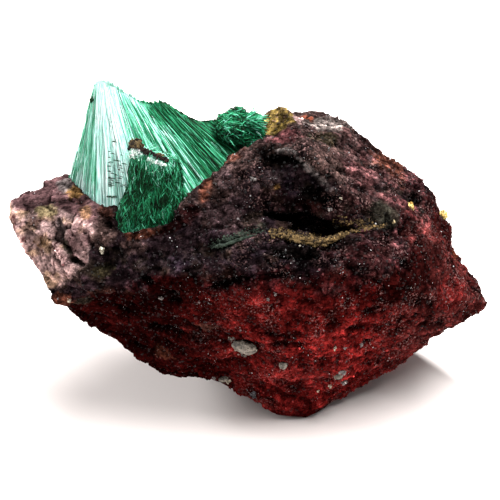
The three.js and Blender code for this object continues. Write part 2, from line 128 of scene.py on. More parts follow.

# Stains on the rock, and some patches of painted shade: where each is in the picture (across, down), its
# half sizes in millimetres (across, deep, up), how far it leans to the right of upright in degrees, its
# colour and strength.
STAINS = [
    # the block at the left
    ("grey on the block's top", (66, 185), (1.6, 2, 1.3), 0, "pale grey", 0.6),
    ("gold by the malachite", (75, 190), (1.4, 2, 1.9), -20, "gold", 0.8),
    ("gold down the block's edge", (85, 211), (1.1, 1.5, 2.2), -25, "gold", 0.4),
    ("red by the gold", (80, 202), (0.8, 1.2, 1.3), -25, "rim red", 0.5),
    ("yellow edge", (45, 210), (2.2, 1.6, 1.1), 0, "yellow grey", 0.95),
    ("crack, grey", (59, 226), (0.7, 1.2, 2.0), -8, "blue grey", 0.4),
    ("crack, green", (67, 247), (0.7, 1.2, 2.4), -25, "dark green", 0.7),
    # painted shade in the hollow under the crack
    ("hollow under the crack", (77, 262), (1.8, 1.3, 0.6), 0, "black", 0.7),
    ("gold in the low block", (40, 243), (1.4, 1, 1.2), 30, "gold", 0.35),
    ("dark under the block", (76, 288), (2.6, 1.5, 1.6), 30, "violet", 0.85),
    ("dusky right of the block", (78, 238), (2.4, 1.5, 3.4), -30, "maroon", 0.7),
    ("grey green foot of the block", (83, 300), (1.6, 1.3, 0.8), -20, "grey green", 0.6),
    ("maroon foot of the block", (62, 300), (1.8, 1.5, 1.6), -20, "brown red", 0.7),
    ("orange streak along the edge", (100, 291), (3.3, 1.3, 0.7), -18, "rim red", 0.35),
    # the wall between the block and the malachite
    ("grey wall", (103, 232), (2.1, 2.5, 2.7), 0, "brown grey", 0.85),
    ("red top of the wall", (104, 211), (1.9, 1.8, 1.0), 35, "rim red", 0.8),
    ("dark foot of the wall", (104, 257), (2.2, 2, 1.1), 0, "violet", 0.9),
    # the band in front of the malachite
    ("olive at the left", (103, 270), (1.8, 1.6, 1.2), -20, "olive", 0.8),
    ("olive in the middle", (133, 246), (2.6, 1.6, 1.5), -10, "brown grey", 0.5),
    ("bright violet line", (172, 262), (5.5, 1.5, 0.8), -10, "bright violet", 0.35),
    ("brown under the bundle", (142, 235), (3.4, 1.6, 0.7), -10, "brown red", 0.8),
    ("rim, low", (172, 226), (2.6, 2, 0.9), -30, "red black", 1.0),
    ("rim, left", (190, 214), (1.8, 2, 1.4), -45, "red black", 1.0),
    ("rim, middle", (206, 192), (1.0, 2, 2.9), 18, "brown red", 0.85),
    ("rim, knob", (213, 170), (1.4, 2, 1.0), 0, "rim red", 0.9),
    ("rim, right", (230, 159), (2.2, 2, 0.9), -25, "brown red", 0.6),
    ("rim, top", (243, 148), (2.0, 2, 0.8), -35, "mauve grey", 0.8),
    # the summit
    ("mustard summit", (277, 120), (3.5, 4, 2.2), -20, "ochre", 1.0),
    ("mustard rim", (260, 136), (3.0, 3, 0.8), -32, "ochre", 0.9),
    ("red of the summit", (306, 121), (1.4, 3, 1.4), 0, "orange red", 0.4),
    ("pink of the summit", (297, 119), (1.1, 2, 0.9), 0, "pink", 1.0),
    ("dark red under the summit", (287, 137), (3.2, 3, 0.8), -12, "red violet", 0.9),
    # painted shade in the notch under the rim
    ("black under the rim", (264, 149), (2.0, 2, 1.5), -10, "black", 0.95),
    ("mauve slope", (328, 126), (4.6, 4, 1.2), 24, "mauve grey", 0.95),
    # the ledge and its top
    ("dark green top", (325, 138), (3.2, 3, 0.9), 15, "olive", 0.8),
    ("brown top", (330, 165), (4.5, 4, 2.5), 40, "brown grey", 0.6),
    ("pale lip, left", (286, 151), (2.4, 1.2, 0.45), 0, "pale grey", 0.5),
    ("pale lip, right", (314, 173), (0.6, 1.2, 4.6), -46, "pale grey", 0.35),
    # painted shade in the groove under the lip
    ("black under the lip", (280, 161), (3.6, 2, 0.8), 0, "black", 0.65),
    # the brow
    ("grey violet brow", (258, 181), (5.4, 2.5, 1.5), -20, "grey violet", 0.9),
    ("olive brow", (222, 190), (3.2, 2.5, 1.8), -28, "brown", 0.7),
    # painted shade in the hollow in the brow, and on the brow just over the slit
    ("black brow", (318, 198), (3.6, 2.5, 2.6), 35, "black", 0.65),
    ("black brow, lower", (290, 212), (6, 2.5, 0.9), 5, "black", 0.6),
    ("red in the brow", (310, 207), (2.6, 2, 1.0), 5, "dull red", 0.4),
    ("gold fleck", (277, 187), (0.5, 0.8, 0.4), 0, "gold", 0.7),
    ("violet slope", (226, 200), (6.5, 5, 3.4), -35, "violet", 0.6),
    ("brown under the rim", (225, 180), (1.6, 2, 1.5), -30, "grey violet", 0.5),
    # round the slit
    ("green of the vein", (236, 239), (3.4, 1.5, 0.6), -26, "vein green", 0.4),
    ("green of the slit", (258, 229), (2.2, 1.5, 0.5), -10, "vein green", 0.25),
    ("green under the vein", (228, 246), (1.6, 1.2, 0.8), -20, "vein green", 0.2),
    # painted shade in the gash below the slit
    ("black under the slit", (300, 251), (6.5, 2.5, 0.9), 0, "black", 0.85),
    ("ochre right of the slit", (352, 226), (2.6, 1.5, 0.8), 0, "ochre", 0.7),
    # the right
    ("olive right", (383, 214), (3.4, 2.5, 2.4), 0, "grey green", 0.85),
    ("violet right", (368, 206), (1.6, 1.8, 1.2), 0, "black", 0.4),
    ("dark right", (358, 254), (6.5, 3.5, 3.4), 10, "red black", 0.9),
    ("black right", (345, 241), (3.2, 2, 0.8), -5, "black", 0.8),
    ("grey right", (385, 240), (2.2, 2, 1.5), 0, "red black", 0.9),
    ("red upper edge", (388, 164), (3.6, 4, 1.2), 40, "brown red", 0.7),
    ("brown upper slope", (362, 176), (3.6, 3.5, 2.0), 38, "red violet", 0.4),
    ("orange upper right", (402, 186), (1.3, 1.6, 0.6), 20, "brown red", 0.5),
    ("brow, dark middle", (275, 200), (4.5, 2.5, 2.2), 0, "red black", 0.5),
    # painted shade in the notch on the right
    ("dark notch on the right", (416, 197), (2.0, 2.5, 0.9), 0, "black", 0.8),
    ("red right", (448, 275), (3.2, 3, 3.4), -30, "dull red", 0.3),
    ("dark shoulder", (409, 228), (2.6, 3, 4.8), -15, "deep red", 0.5),
    ("right tip", (452, 292), (5, 4, 3), 0, "red", 0.6),
    ("dusty right", (420, 232), (4.5, 4, 4.5), -20, "dull red", 0.6),
    ("red right edge", (455, 255), (0.6, 1.5, 1.0), 0, "orange red", 0.5),
    # the front, below the edge
    # painted shade on the front's underside and under its ledges
    ("dark front, far left", (115, 325), (8, 6, 4), 30, "deep red", 0.8),
    ("dark front, left", (180, 345), (6, 5, 4), 0, "deep red", 0.3),
    ("dark front, top", (170, 285), (7, 3, 2), -12, "deep red", 1.0),
    ("red patch", (228, 352), (1.5, 1.5, 1.6), 0, "bright red", 0.45),
    ("red patch, left", (186, 330), (2.4, 1.5, 0.8), -15, "bright red", 0.5),
    ("pink patch", (207, 326), (2.2, 1.5, 0.9), -10, "rim red", 0.6),
    ("olive patch", (164, 352), (2.3, 1.5, 1.2), 10, "brown red", 0.5),
    ("orange toe", (268, 406), (2.0, 1.6, 1.1), 22, "bright red", 0.9),
    ("red low", (300, 375), (6, 4, 2.2), 0, "bright red", 0.3),
    ("brown patch", (330, 290), (2.2, 1.5, 1.2), 0, "red violet", 0.4),
]

# Hollows in the rock: where each is in the picture, its half sizes in millimetres (across, deep, up),
# its lean, and how deep it is carved.
# The carved depth also darkens the rock's colour there, as painted shade.
HOLLOWS = [
    ("crack in the block", (60, 232), (0.5, 1.5, 3.6), -12, 0.35),
    ("crack in the block, low", (70, 254), (0.5, 1.5, 1.8), -35, 0.5),
    ("under the crack", (77, 262), (1.9, 1.2, 0.6), 8, 0.8),
    ("crack across the block", (58, 262), (2.6, 1.2, 0.35), 35, 0.4),
    ("chip in the block", (30, 226), (2.0, 1.2, 0.4), 15, 0.4),
    ("edge of the block", (89, 238), (0.5, 1.5, 2.2), -30, 0.5),
    ("gash on the left", (228, 283), (3.0, 1.5, 0.8), -22, 0.7),
    ("gash on the right", (264, 277), (4.0, 1.5, 0.7), -2, 0.6),
    ("gash below the slit", (300, 256), (5.5, 1.5, 0.7), 3, 0.9),
    ("gash far left", (160, 326), (2.4, 1.5, 0.9), -8, 1.0),
    ("gash low", (285, 344), (3.4, 1.5, 0.7), -2, 0.8),
    ("gash left of the inclusion", (190, 375), (4.0, 1.5, 0.6), 5, 0.7),
    ("pit under the band", (147, 281), (1.3, 1.2, 0.9), 0, 0.7),
    ("pit in the dark front", (176, 300), (1.2, 1.2, 0.9), 0, 0.6),
    ("pit on the right", (349, 329), (1.1, 1.0, 0.5), 0, 0.6),
    ("pit on the right, upper", (366, 341), (1.2, 1.0, 0.5), -10, 0.5),
    ("notch on the right", (414, 199), (1.9, 2, 0.8), 10, 0.9),
    ("notch under the rim", (264, 146), (1.6, 2, 1.2), -10, 0.7),
    ("hollow in the brow", (318, 196), (2.6, 2, 1.8), 30, 0.5),
    ("groove under the lip", (284, 160), (3.4, 2, 0.6), 0, 0.6),
]

# ---- Noise ----

# The numbers that follow the points in a call of noise, layered, chips, creases or cells_at are the
# wave in millimetres and the seed.


def unit(vector):
    vector = np.asarray(vector, float)
    return vector / np.linalg.norm(vector)


def unit_rows(rows):
    return rows / np.linalg.norm(rows, axis=1, keepdims=True)


def smoothstep(value, low, high):
    """0 below low, 1 above high, and smooth in between."""
    share = np.clip((value - low) / (high - low), 0, 1)
    return share * share * (3 - 2 * share)


def random_of(cells, seed):
    """A repeatable number from 0 to 1 for each row of whole numbers."""
    mixed_bits = np.full(len(cells), (seed * 2654435761) & 0xFFFFFFFF, np.int64)
    for axis, factor in enumerate((73856093, 19349663, 83492791)):
        mixed_bits ^= (cells[:, axis] * factor) & 0xFFFFFFFF
        mixed_bits = (mixed_bits * 1274126177) & 0xFFFFFFFF
        mixed_bits ^= mixed_bits >> 15
    return (mixed_bits & 0xFFFFFF) / 0xFFFFFF


def random_vectors(cells, seed):
    """Three such numbers for each row."""
    return np.stack([random_of(cells, seed + 101 * axis) for axis in range(3)], 1)


def noise(points, wave, seed):
    """Smooth noise at each point, about -1 to 1, with a swell every wave."""
    place = points / wave + 0.37 * seed
    cell = np.floor(place).astype(np.int64)
    inside = place - cell
    blend = inside ** 3 * (inside * (inside * 6 - 15) + 10)
    total = np.zeros(len(points))
    for corner in itertools.product((0, 1), repeat=3):
        slope = 2 * random_vectors(cell + corner, seed) - 1
        weight = np.prod(np.where(corner, blend, 1 - blend), axis=1)
        total += weight * np.sum((inside - corner) * slope, axis=1)
    return 1.6 * total


def layered(points, wave, seed, octaves=3):
    """Noise with finer and fainter noise on top of it."""
    return sum(0.5 ** i * noise(points, wave / 2 ** i, seed + i) for i in range(octaves))


def cells_at(points, wave, seed):
    """The nearest scattered seed of each point: the way to it, its own whole-number cell, and the
    distances to the nearest and the second nearest seed, as shares of the wave."""
    place = points / wave
    home = np.floor(place).astype(np.int64)
    nearest = np.full(len(points), 9.0)
    second = np.full(len(points), 9.0)
    way = np.zeros_like(points)
    owner = np.zeros_like(home)
    for step in itertools.product((-1, 0, 1), repeat=3):
        cell = home + step
        offset = cell + random_vectors(cell, seed) - place
        distance = np.linalg.norm(offset, axis=1)
        closer = distance < nearest
        second = np.where(closer, nearest, np.minimum(second, distance))
        nearest = np.where(closer, distance, nearest)
        way[closer] = offset[closer]
        owner[closer] = cell[closer]
    return way * wave, owner, nearest, second


def chips(points, wave, seed):
    """Height of a chipped face, about -1 to 1: each chip is a flat facet with a tilt of its own."""
    way, owner, _, _ = cells_at(points, wave, seed)
    tilt = 2 * random_vectors(owner, seed + 7) - 1
    return 0.8 * (2 * random_of(owner, seed + 3) - 1) + 1.6 * np.sum(way * tilt, axis=1) / wave


def creases(points, wave, seed, width):
    """1 along the joints between chips, and 0 further from them than the width."""
    _, _, nearest, second = cells_at(points, wave, seed)
    return 1 - smoothstep(second - nearest, 0, width)


def stretched(points, along, times):
    """The points squeezed along a direction, so that noise on them is drawn out along it."""
    direction = unit(along)
    return points - np.outer(points @ direction, direction) * (1 - 1 / times)


# ---- Meshes ----


def arrays_of(mesh):
    """A mesh's points, in the mesh's own units, and its faces, which all have as many corners."""
    points = np.zeros(len(mesh.vertices) * 3)
    mesh.vertices.foreach_get("co", points)
    corners = np.zeros(len(mesh.loops), np.int64)
    mesh.loops.foreach_get("vertex_index", corners)
    return points.reshape(-1, 3), corners.reshape(len(mesh.polygons), -1)


def new_mesh(name, points, faces):
    mesh = bpy.data.meshes.new(name)
    mesh.vertices.add(len(points))
    mesh.vertices.foreach_set("co", np.asarray(points, np.float32).ravel())
    sides = faces.shape[1]
    mesh.loops.add(faces.size)
    mesh.loops.foreach_set("vertex_index", faces.astype(np.int32).ravel())
    mesh.polygons.add(len(faces))
    mesh.polygons.foreach_set("loop_start", np.arange(0, faces.size, sides, dtype=np.int32))
    mesh.update(calc_edges=True)
    return mesh


def put_in_scene(name, data):
    obj = bpy.data.objects.new(name, data)
    bpy.context.scene.collection.objects.link(obj)
    return obj


def remeshed(points, faces, voxel):
    """The surface as even quads of about the voxel's size."""
    obj = put_in_scene("remesh", new_mesh("remesh", points, faces))
    modifier = obj.modifiers.new("voxels", "REMESH")
    modifier.mode = "VOXEL"
    modifier.voxel_size = voxel
    made = obj.evaluated_get(bpy.context.evaluated_depsgraph_get()).to_mesh()
    result = arrays_of(made)
    bpy.data.objects.remove(obj)
    return result


def node_arrays(name):
    """A CAD node's points, in millimetres, and its faces."""
    points, faces = arrays_of(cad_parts[name].data)
    return points / MM, faces


def normals_of(points, faces):
    """The way that a surface of quads faces at each point."""
    across = points[faces[:, 2]] - points[faces[:, 0]]
    along = points[faces[:, 3]] - points[faces[:, 1]]
    face_normals = np.cross(across, along)
    normals = np.zeros_like(points)
    for column in faces.T:
        for axis in range(3):
            normals[:, axis] += np.bincount(column, face_normals[:, axis], len(points))
    return normals / np.maximum(np.linalg.norm(normals, axis=1, keepdims=True), 1e-12)


def smoothed(values, faces, rounds):
    """The values at each point, averaged with its neighbours' again and again."""
    count = len(values)
    starts = faces.ravel()
    ends = np.roll(faces, -1, axis=1).ravel()
    degree = np.bincount(starts, minlength=count) + np.bincount(ends, minlength=count)
    flat = values.reshape(count, -1).copy()
    for _ in range(rounds):
        for axis in range(flat.shape[1]):
            column = flat[:, axis]
            near = np.bincount(starts, column[ends], count) + np.bincount(ends, column[starts], count)
            flat[:, axis] = 0.5 * (column + near / degree)
    return flat.reshape(values.shape)


def add_piece(name, points, faces, material, slot, replaces, attributes, smooth=True):
    """A finished piece of the specimen, with its attributes: one number or three for each point."""
    mesh = new_mesh(name, points * MM, faces)
    for key, values in attributes.items():
        colour = np.ndim(values) == 2
        attribute = mesh.attributes.new(key, "FLOAT_COLOR" if colour else "FLOAT", "POINT")
        if colour:
            values = np.column_stack([values, np.ones(len(values))])
        numbers = np.asarray(values, np.float32).ravel()
        attribute.data.foreach_set("color" if colour else "value", numbers)
    mesh.polygons.foreach_set("use_smooth", np.full(len(faces), smooth))
    mesh.materials.append(material)
    obj = put_in_scene(name, mesh)
    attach(obj, BODY)
    if replaces:
        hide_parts(*replaces)


def under_pixel(tree, pixel):
    """The point of a surface that shows at a pixel."""
    across, down = ((np.array(pixel) - PICTURE / 2) / PIXELS_PER_MM).tolist()
    toward = VIEW_TARGET + np.array([across, 0, 0]) - down * VIEW_UP - EYE
    return np.array(tree.ray_cast(Vector(EYE), Vector(toward))[0])


def tree_of(points, faces):
    """The surface, ready to cast rays at."""
    return BVHTree.FromPolygons([Vector(p) for p in points], faces.tolist())


# ---- Material nodes ----


class Nodes:
    """Makes a material's nodes in few words. A value is a number, a colour or a node's socket."""

    def __init__(self, name):
        self.material = bpy.data.materials.new(name)
        self.material.use_nodes = True
        self.tree = self.material.node_tree
        self.shader = self.tree.nodes["Principled BSDF"]
        place = self.tree.nodes.new("ShaderNodeTexCoord")
        self.place = self.scaled(place.outputs["Object"], 1 / MM)  # in the frame, in millimetres

    def put(self, socket, value):
        if isinstance(value, bpy.types.NodeSocket):
            self.tree.links.new(value, socket)
        else:
            socket.default_value = value

    def scaled(self, vector, share):
        """A place or a colour, times a number."""
        node = self.tree.nodes.new("ShaderNodeVectorMath")
        node.operation = "SCALE"
        self.put(node.inputs[0], vector)
        self.put(node.inputs["Scale"], share)
        return node.outputs[0]

    def attribute(self, name, output="Fac"):
        node = self.tree.nodes.new("ShaderNodeAttribute")
        node.attribute_name = name
        return node.outputs[output]

    def noise(self, per_mm, detail, rough, at=None):
        node = self.tree.nodes.new("ShaderNodeTexNoise")
        self.put(node.inputs["Vector"], at or self.place)
        node.inputs["Scale"].default_value = per_mm
        node.inputs["Detail"].default_value = detail
        node.inputs["Roughness"].default_value = rough
        return node.outputs[0]

    def cells(self, per_mm, output="Color"):
        node = self.tree.nodes.new("ShaderNodeTexVoronoi")
        self.put(node.inputs["Vector"], self.place)
        node.inputs["Scale"].default_value = per_mm
        return node.outputs[output]

    def math(self, operation, first, second):
        node = self.tree.nodes.new("ShaderNodeMath")
        node.operation = operation
        self.put(node.inputs[0], first)
        self.put(node.inputs[1], second)
        return node.outputs[0]

    def spread(self, value, low, high, to_low=0.0, to_high=1.0):
        """The value, taken from between low and high to between the other two."""
        node = self.tree.nodes.new("ShaderNodeMapRange")
        for socket, given in zip(node.inputs, (value, low, high, to_low, to_high)):
            self.put(socket, given)
        return node.outputs[0]

    def mix(self, share, socket, colour):
        """The socket's colour with a share of another colour in it."""
        node = self.tree.nodes.new("ShaderNodeMix")
        node.data_type = "RGBA"
        self.put(node.inputs[0], share)
        self.put(node.inputs[6], socket)
        self.put(node.inputs[7], (*colour, 1))
        return node.outputs[2]

    def ramp(self, value, stops):
        node = self.tree.nodes.new("ShaderNodeValToRGB")
        self.put(node.inputs[0], value)
        elements = node.color_ramp.elements
        while len(elements) < len(stops):
            elements.new(0.5)
        for element, (at, colour) in zip(elements, stops):
            element.position = at
            element.color = (*colour, 1)
        return node.outputs[0]

    def bump(self, height, depth_mm, strength=1.0, under=None):
        node = self.tree.nodes.new("ShaderNodeBump")
        node.inputs["Strength"].default_value = strength
        node.inputs["Distance"].default_value = depth_mm * MM
        self.put(node.inputs["Height"], height)
        if under:
            self.put(node.inputs["Normal"], under)
        return node.outputs[0]

    def finish(self, **sockets):
        """Sets the shader's sockets by name, with spaces written as underscores."""
        for key, value in sockets.items():
            self.put(self.shader.inputs[key.replace("_", " ")], value)
        return self.material


def rock_material():
    """The rock's colours with grain, dark specks of painted shade for small pits, dust and small lit
    crystals.
    """
    nodes = Nodes("matrix_rock")
    crystals = nodes.cells(3.8)
    grain = nodes.spread(nodes.noise(2.0, 5, 0.75), 0.36, 0.66, 0.3, 1.8)
    shade = nodes.math("MULTIPLY", grain, nodes.spread(crystals, 0, 1, 0.6, 1.4))
    # Painted shade: dark specks that stand for small pits.
    pits = nodes.spread(nodes.noise(1.3, 3, 0.6), 0.38, 0.45, 0.35, 1)
    shade = nodes.math("SUBTRACT", nodes.math("MULTIPLY", shade, pits), 1)
    shade = nodes.math("MULTIPLY", shade, nodes.attribute("grain"))
    colour = nodes.scaled(nodes.attribute("colour", "Color"), nodes.math("ADD", shade, 1))
    dust = nodes.spread(nodes.noise(2.6, 3, 0.7), 0.56, 0.66, 0, 0.8)
    colour = nodes.mix(nodes.math("MULTIPLY", dust, nodes.attribute("dust")), colour, DUST)
    lit = nodes.spread(nodes.cells(2.6), 0.95, 0.98)
    colour = nodes.mix(nodes.math("MULTIPLY", lit, nodes.attribute("glint")), colour, LIT_CRYSTAL)
    fine = nodes.bump(nodes.noise(2.4, 4, 0.7), 0.22)
    rough = nodes.bump(nodes.cells(2.4, "Distance"), 0.12, under=fine)
    return nodes.finish(Base_Color=colour, Roughness=nodes.spread(crystals, 0, 1, 0.5, 0.9),
                        Normal=rough, Specular_IOR_Level=0.0)


# ---- The rock ----


def block_share(points):
    """1 in the pink block at the left end of the rock, and 0 outside it."""
    edge = np.interp(points[:, 2], BLOCK_EDGE_HEIGHT, BLOCK_EDGE_ACROSS)
    edge = edge + 0.6 * layered(points, 2.6, 5)
    return smoothstep(edge - points[:, 0], -0.4, 0.4)


def cleaved(points):
    """Places in the block, drawn out along its cleavage."""
    return stretched(points, BLOCK_CLEAVAGE, 2.6)


def rock_relief(points, block):
    """How far the relief stands out of the rock's faces, in millimetres."""
    lying = stretched(points, (1, 0.1, -0.25), 2.0)
    warped = lying + 0.5 * np.stack([noise(lying, 2.5, 17 + k) for k in range(3)], 1)
    coarse = 0.65 * (0.35 - np.abs(noise(warped, 4.6, 11)))
    coarse = coarse + 0.45 * (0.3 - np.abs(noise(warped, 2.2, 31)))
    coarse += (0.2 * chips(warped, 3.0, 21) - 0.08 * creases(warped, 3.0, 21, 0.1)
               + 0.09 * chips(warped, 1.4, 22))
    split = cleaved(points)
    planes = sum(height * chips(split, wave, seed) - depth * creases(split, wave, seed, width)
                 for wave, seed, height, width, depth, _ in BLOCK_PLATES)
    fine = 0.06 * noise(points, 1.2, 51)
    fine = fine + 0.15 * chips(stretched(points, ROCK_GRAIN, 1.6), 1.2, 53)
    fine = fine + 0.1 * noise(points, 0.5, 55)
    return (1 - block) * (coarse + fine) + block * (planes + 0.7 * fine)


def leaning_distance(points, centre, size, lean):
    """How far points are from a centre, as a share of a leaning ellipsoid's half sizes."""
    turn = math.radians(lean)
    x, y, z = (points - centre).T
    across = x * math.cos(turn) - z * math.sin(turn)
    up = x * math.sin(turn) + z * math.cos(turn)
    return np.sqrt((across / size[0]) ** 2 + (y / size[1]) ** 2 + (up / size[2]) ** 2)


def patch_share(points, centre, size, lean, seed):
    """1 inside a patch, and 0 outside its ragged edge."""
    far = leaning_distance(points, centre, size, lean)
    near = far < 2
    ragged = 0.35 * layered(points[near], 0.5 + 0.5 * min(size), seed)
    share = np.zeros(len(points))
    share[near] = 1 - smoothstep(far[near] + ragged, 0.7, 1.15)
    return share


def mixed(colours, name, share):
    """The colours with a share of a named colour in them."""
    return colours + share[:, None] * (np.array(ROCK_COLOURS[name]) - colours)


def block_colours(colours, points, up, block):
    """The pink block's colours, where the block is: ochre and maroon patches, veins and a dark top."""
    tan = smoothstep(layered(points, 3.2, 85) - 0.06 * (points[:, 0] + 33), 0, 0.5)
    vein = 1 - smoothstep(np.abs(noise(cleaved(points), 2.4, 89)), 0.01, 0.07)
    colours = mixed(colours, "pink", block)
    colours = mixed(colours, "ochre pink", block * 0.7 * tan)
    colours = mixed(colours, "maroon", block * 0.6 * smoothstep(layered(points, 2.6, 87), 0.15, 0.5))
    colours = mixed(colours, "dark vein", block * vein)
    return mixed(colours, "maroon", block * smoothstep(up, 0.55, 0.8))


def rock_colours(points, normals, relief, block, tree):
    """The rock's colours: dark violet above the front's edge and red below it, the pink block, then the
    stains, some of them painted shade; over all that, painted shade just under the front's edge and on the
    brow, and painted light and shade from the relief."""
    x, z, up = points[:, 0], points[:, 2], normals[:, 2]
    patchy = layered(points, 6, 63)
    blotchy = layered(points, 2.2, 65)
    edge = np.interp(x, FRONT_EDGE_ACROSS, FRONT_EDGE_HEIGHT) + 1.2 * layered(points, 4, 61)
    under = edge - z
    low = smoothstep(under + 0.9 * noise(points, 1.2, 62), -3, 2.4)
    right = smoothstep(x + 3 * patchy, 8, 22)
    top = smoothstep(up, 0.35, 0.7) * smoothstep(z, 36, 41)
    redder = smoothstep(x + 6 * patchy + 3 * blotchy, -16, 14)
    bright = smoothstep(noise(points, 3, 64) + 0.4 * noise(points, 0.9, 66), 0.1, 0.7)
    colours = np.tile(np.array(ROCK_COLOURS["violet"]), (len(points), 1))
    for name, share in (
        ("olive", 0.35 * smoothstep(noise(points, 3.4, 67) + 0.5 * blotchy, 0.05, 0.6)),
        ("brown", 0.4 * smoothstep(noise(points, 2.6, 69) + 0.6 * blotchy, 0.2, 0.8)),
        ("bright violet", 0.35 * bright),
        ("red violet", right * smoothstep(layered(points, 2.4, 68), -0.5, 0.6)),
        ("brown grey", 0.5 * top * (1 - 0.4 * right)),
        ("deep red", low),
        ("red", low * redder * (0.5 + 0.5 * smoothstep(blotchy, -0.6, 0.5))),
        ("dull red", 0.8 * low * smoothstep(x + 3 * blotchy, 18, 30)),
    ):
        colours = mixed(colours, name, share)
    # Painted shade in a band just under the front's edge, where it turns down: stronger from the middle
    # rightwards, and gone at the far right.
    painted_shade_under_edge = smoothstep(under, -3, 0) * (1 - smoothstep(under + 3 * blotchy, 4, 12))
    painted_shade_under_edge = painted_shade_under_edge * (1 - smoothstep(x, 27, 33))
    colours = colours * (1 - (0.05 + 0.6 * smoothstep(x, 2, 14)) * painted_shade_under_edge)[:, None]
    colours = block_colours(colours, points, up, block)
    for _, pixel, size, lean, name, strength in STAINS:
        share = patch_share(points, under_pixel(tree, pixel), size, lean, 71)
        colours = mixed(colours, name, strength * share)
    # Painted shade on the faces above the front's edge that don't face up, right of the block: the brow.
    brow = (1 - low) * (1 - block) * (1 - smoothstep(up, 0.4, 0.75)) * smoothstep(x, -22, -10)
    rough = (0.4 + 0.25 * right + 0.45 * (1 - low)) * (1 - 0.6 * block)
    return colours * painted_rock_light_and_shade(points, relief, block, blotchy, rough, brow)[:, None]


def painted_rock_light_and_shade(points, relief, block, blotchy, rough, brow):
    """How light the rock is, with painted light and shade: lighter on the relief's knobs, darker in its
    pits, its carved hollows and the block's cracks, darker on the brow and toward the right, with random
    patches, and speckled where it is rough.
    """
    split = cleaved(points)
    cracks = np.max([dark * creases(split, wave, seed, width)
                     for wave, seed, _, width, _, dark in BLOCK_PLATES], axis=0)
    speckles = 0.7 * chips(stretched(points, ROCK_GRAIN, 1.8), 1.5, 91) + 1.5 * noise(points, 0.7, 92)
    # Painted light and shade from the relief: lighter on its knobs, darker in its pits and carved hollows.
    light = np.clip(0.9 + 1.8 * relief, 0.12, 2.1)
    light = light * np.clip(1 + 0.35 * blotchy + 0.25 * noise(points, 0.9, 73), 0.4, 1.7)
    light *= (1 - block) * np.clip(1 + 0.6 * layered(points, 9, 77, 2), 0.35, 1.7) + block
    light *= 1 - 0.16 * smoothstep(points[:, 0], 12, 24) - 0.05 * block
    light *= np.exp(rough * (speckles - 0.12))
    # Painted shade in the block's cracks and on the brow.
    return light * (1 - 0.6 * block * cracks) * (1 - 0.36 * brow)


def rock_surface():
    """The rock's solid, with its slit plugged at the left, as a fine mesh with softened faces. Also
    gives the share of the pink block at each point."""
    points, faces = node_arrays("matrix_rock")
    faces = np.vstack([as_triangles(faces), GEM_FACES + len(points)])
    points = np.vstack([points, SLIT_PLUG + SLIT_PLUG_HALF * GEM_POINTS])
    points, faces = remeshed(points, faces, ROCK_VOXEL)
    block = block_share(points)
    crisp = smoothed(points, faces, BLOCK_SMOOTHING)
    points = crisp + (1 - block)[:, None] * (smoothed(points, faces, ROCK_SMOOTHING) - crisp)
    to_tip = np.linalg.norm(points - BLOCK_TIP, axis=1)
    points += (1 - smoothstep(to_tip, 0, BLOCK_TIP_REACH))[:, None] * BLOCK_TIP_PULL
    points[:, 2] = np.maximum(points[:, 2], 0)
    return points, faces, block


def build_rock():
    """The rock, with its hollows and relief. Gives what the pieces on it need."""
    points, faces, block = rock_surface()
    normals = normals_of(points, faces)
    tree = tree_of(points, faces)
    relief = rock_relief(points, block)
    for _, pixel, size, lean, depth in HOLLOWS:
        relief -= depth * patch_share(points, under_pixel(tree, pixel), size, lean, 75)
    relief *= smoothstep(points[:, 2], *FOOT_FADE)
    colours = rock_colours(points, normals, relief, block, tree)
    points = points + normals * relief[:, None]
    points[:, 2] = np.maximum(points[:, 2], 0)
    x = points[:, 0]
    glint = 0.03 + smoothstep(layered(points, 3, 81), 0.05, 0.6) * smoothstep(x, -27, 0)
    dust = smoothstep(layered(points, 5, 83), -0.1, 0.6) * (1 - block) * smoothstep(x, -16, 10)
    attributes = {"colour": colours, "glint": glint, "dust": dust, "grain": 1 - 0.3 * block}
    add_piece("rock", points, faces, rock_material(), "matrix", ["matrix_rock"], attributes, smooth=False)
    return points, faces, colours, glint, block


# ---- Needles and lumps ----


def as_triangles(faces):
    """Faces with three or four corners, as triangles."""
    if faces.shape[1] == 3:
        return faces
    return np.concatenate([faces[:, [0, 1, 2]], faces[:, [0, 2, 3]]])


def joined(parts):
    """Parts (points, faces, attributes) as one; they all have the same attributes."""
    shift = np.cumsum([0] + [len(part[0]) for part in parts])
    points = np.concatenate([part[0] for part in parts])
    faces = np.concatenate([as_triangles(part[1]) + shift[i] for i, part in enumerate(parts)])
    attributes = {key: np.concatenate([part[2][key] for part in parts]) for key in parts[0][2]}
    return points, faces, attributes


NEEDLE_RINGS = (0.12, 0.5, 0.88)
NEEDLE_RING_WIDTHS = (0.7, 1.0, 0.6)
NEEDLE_SIDES = 3


def needle_faces():
    """The triangles of one needle: its start, its rings and its end are numbered in that order."""
    top = 1 + (len(NEEDLE_RINGS) - 1) * NEEDLE_SIDES
    faces = []
    for i in range(NEEDLE_SIDES):
        j = (i + 1) % NEEDLE_SIDES
        faces.append((0, 1 + j, 1 + i))
        for ring in range(1, top, NEEDLE_SIDES):
            a, b = ring + i, ring + j
            faces += [(a, b, b + NEEDLE_SIDES), (a, b + NEEDLE_SIDES, a + NEEDLE_SIDES)]
        faces.append((top + i, top + j, top + NEEDLE_SIDES))
    return np.array(faces)


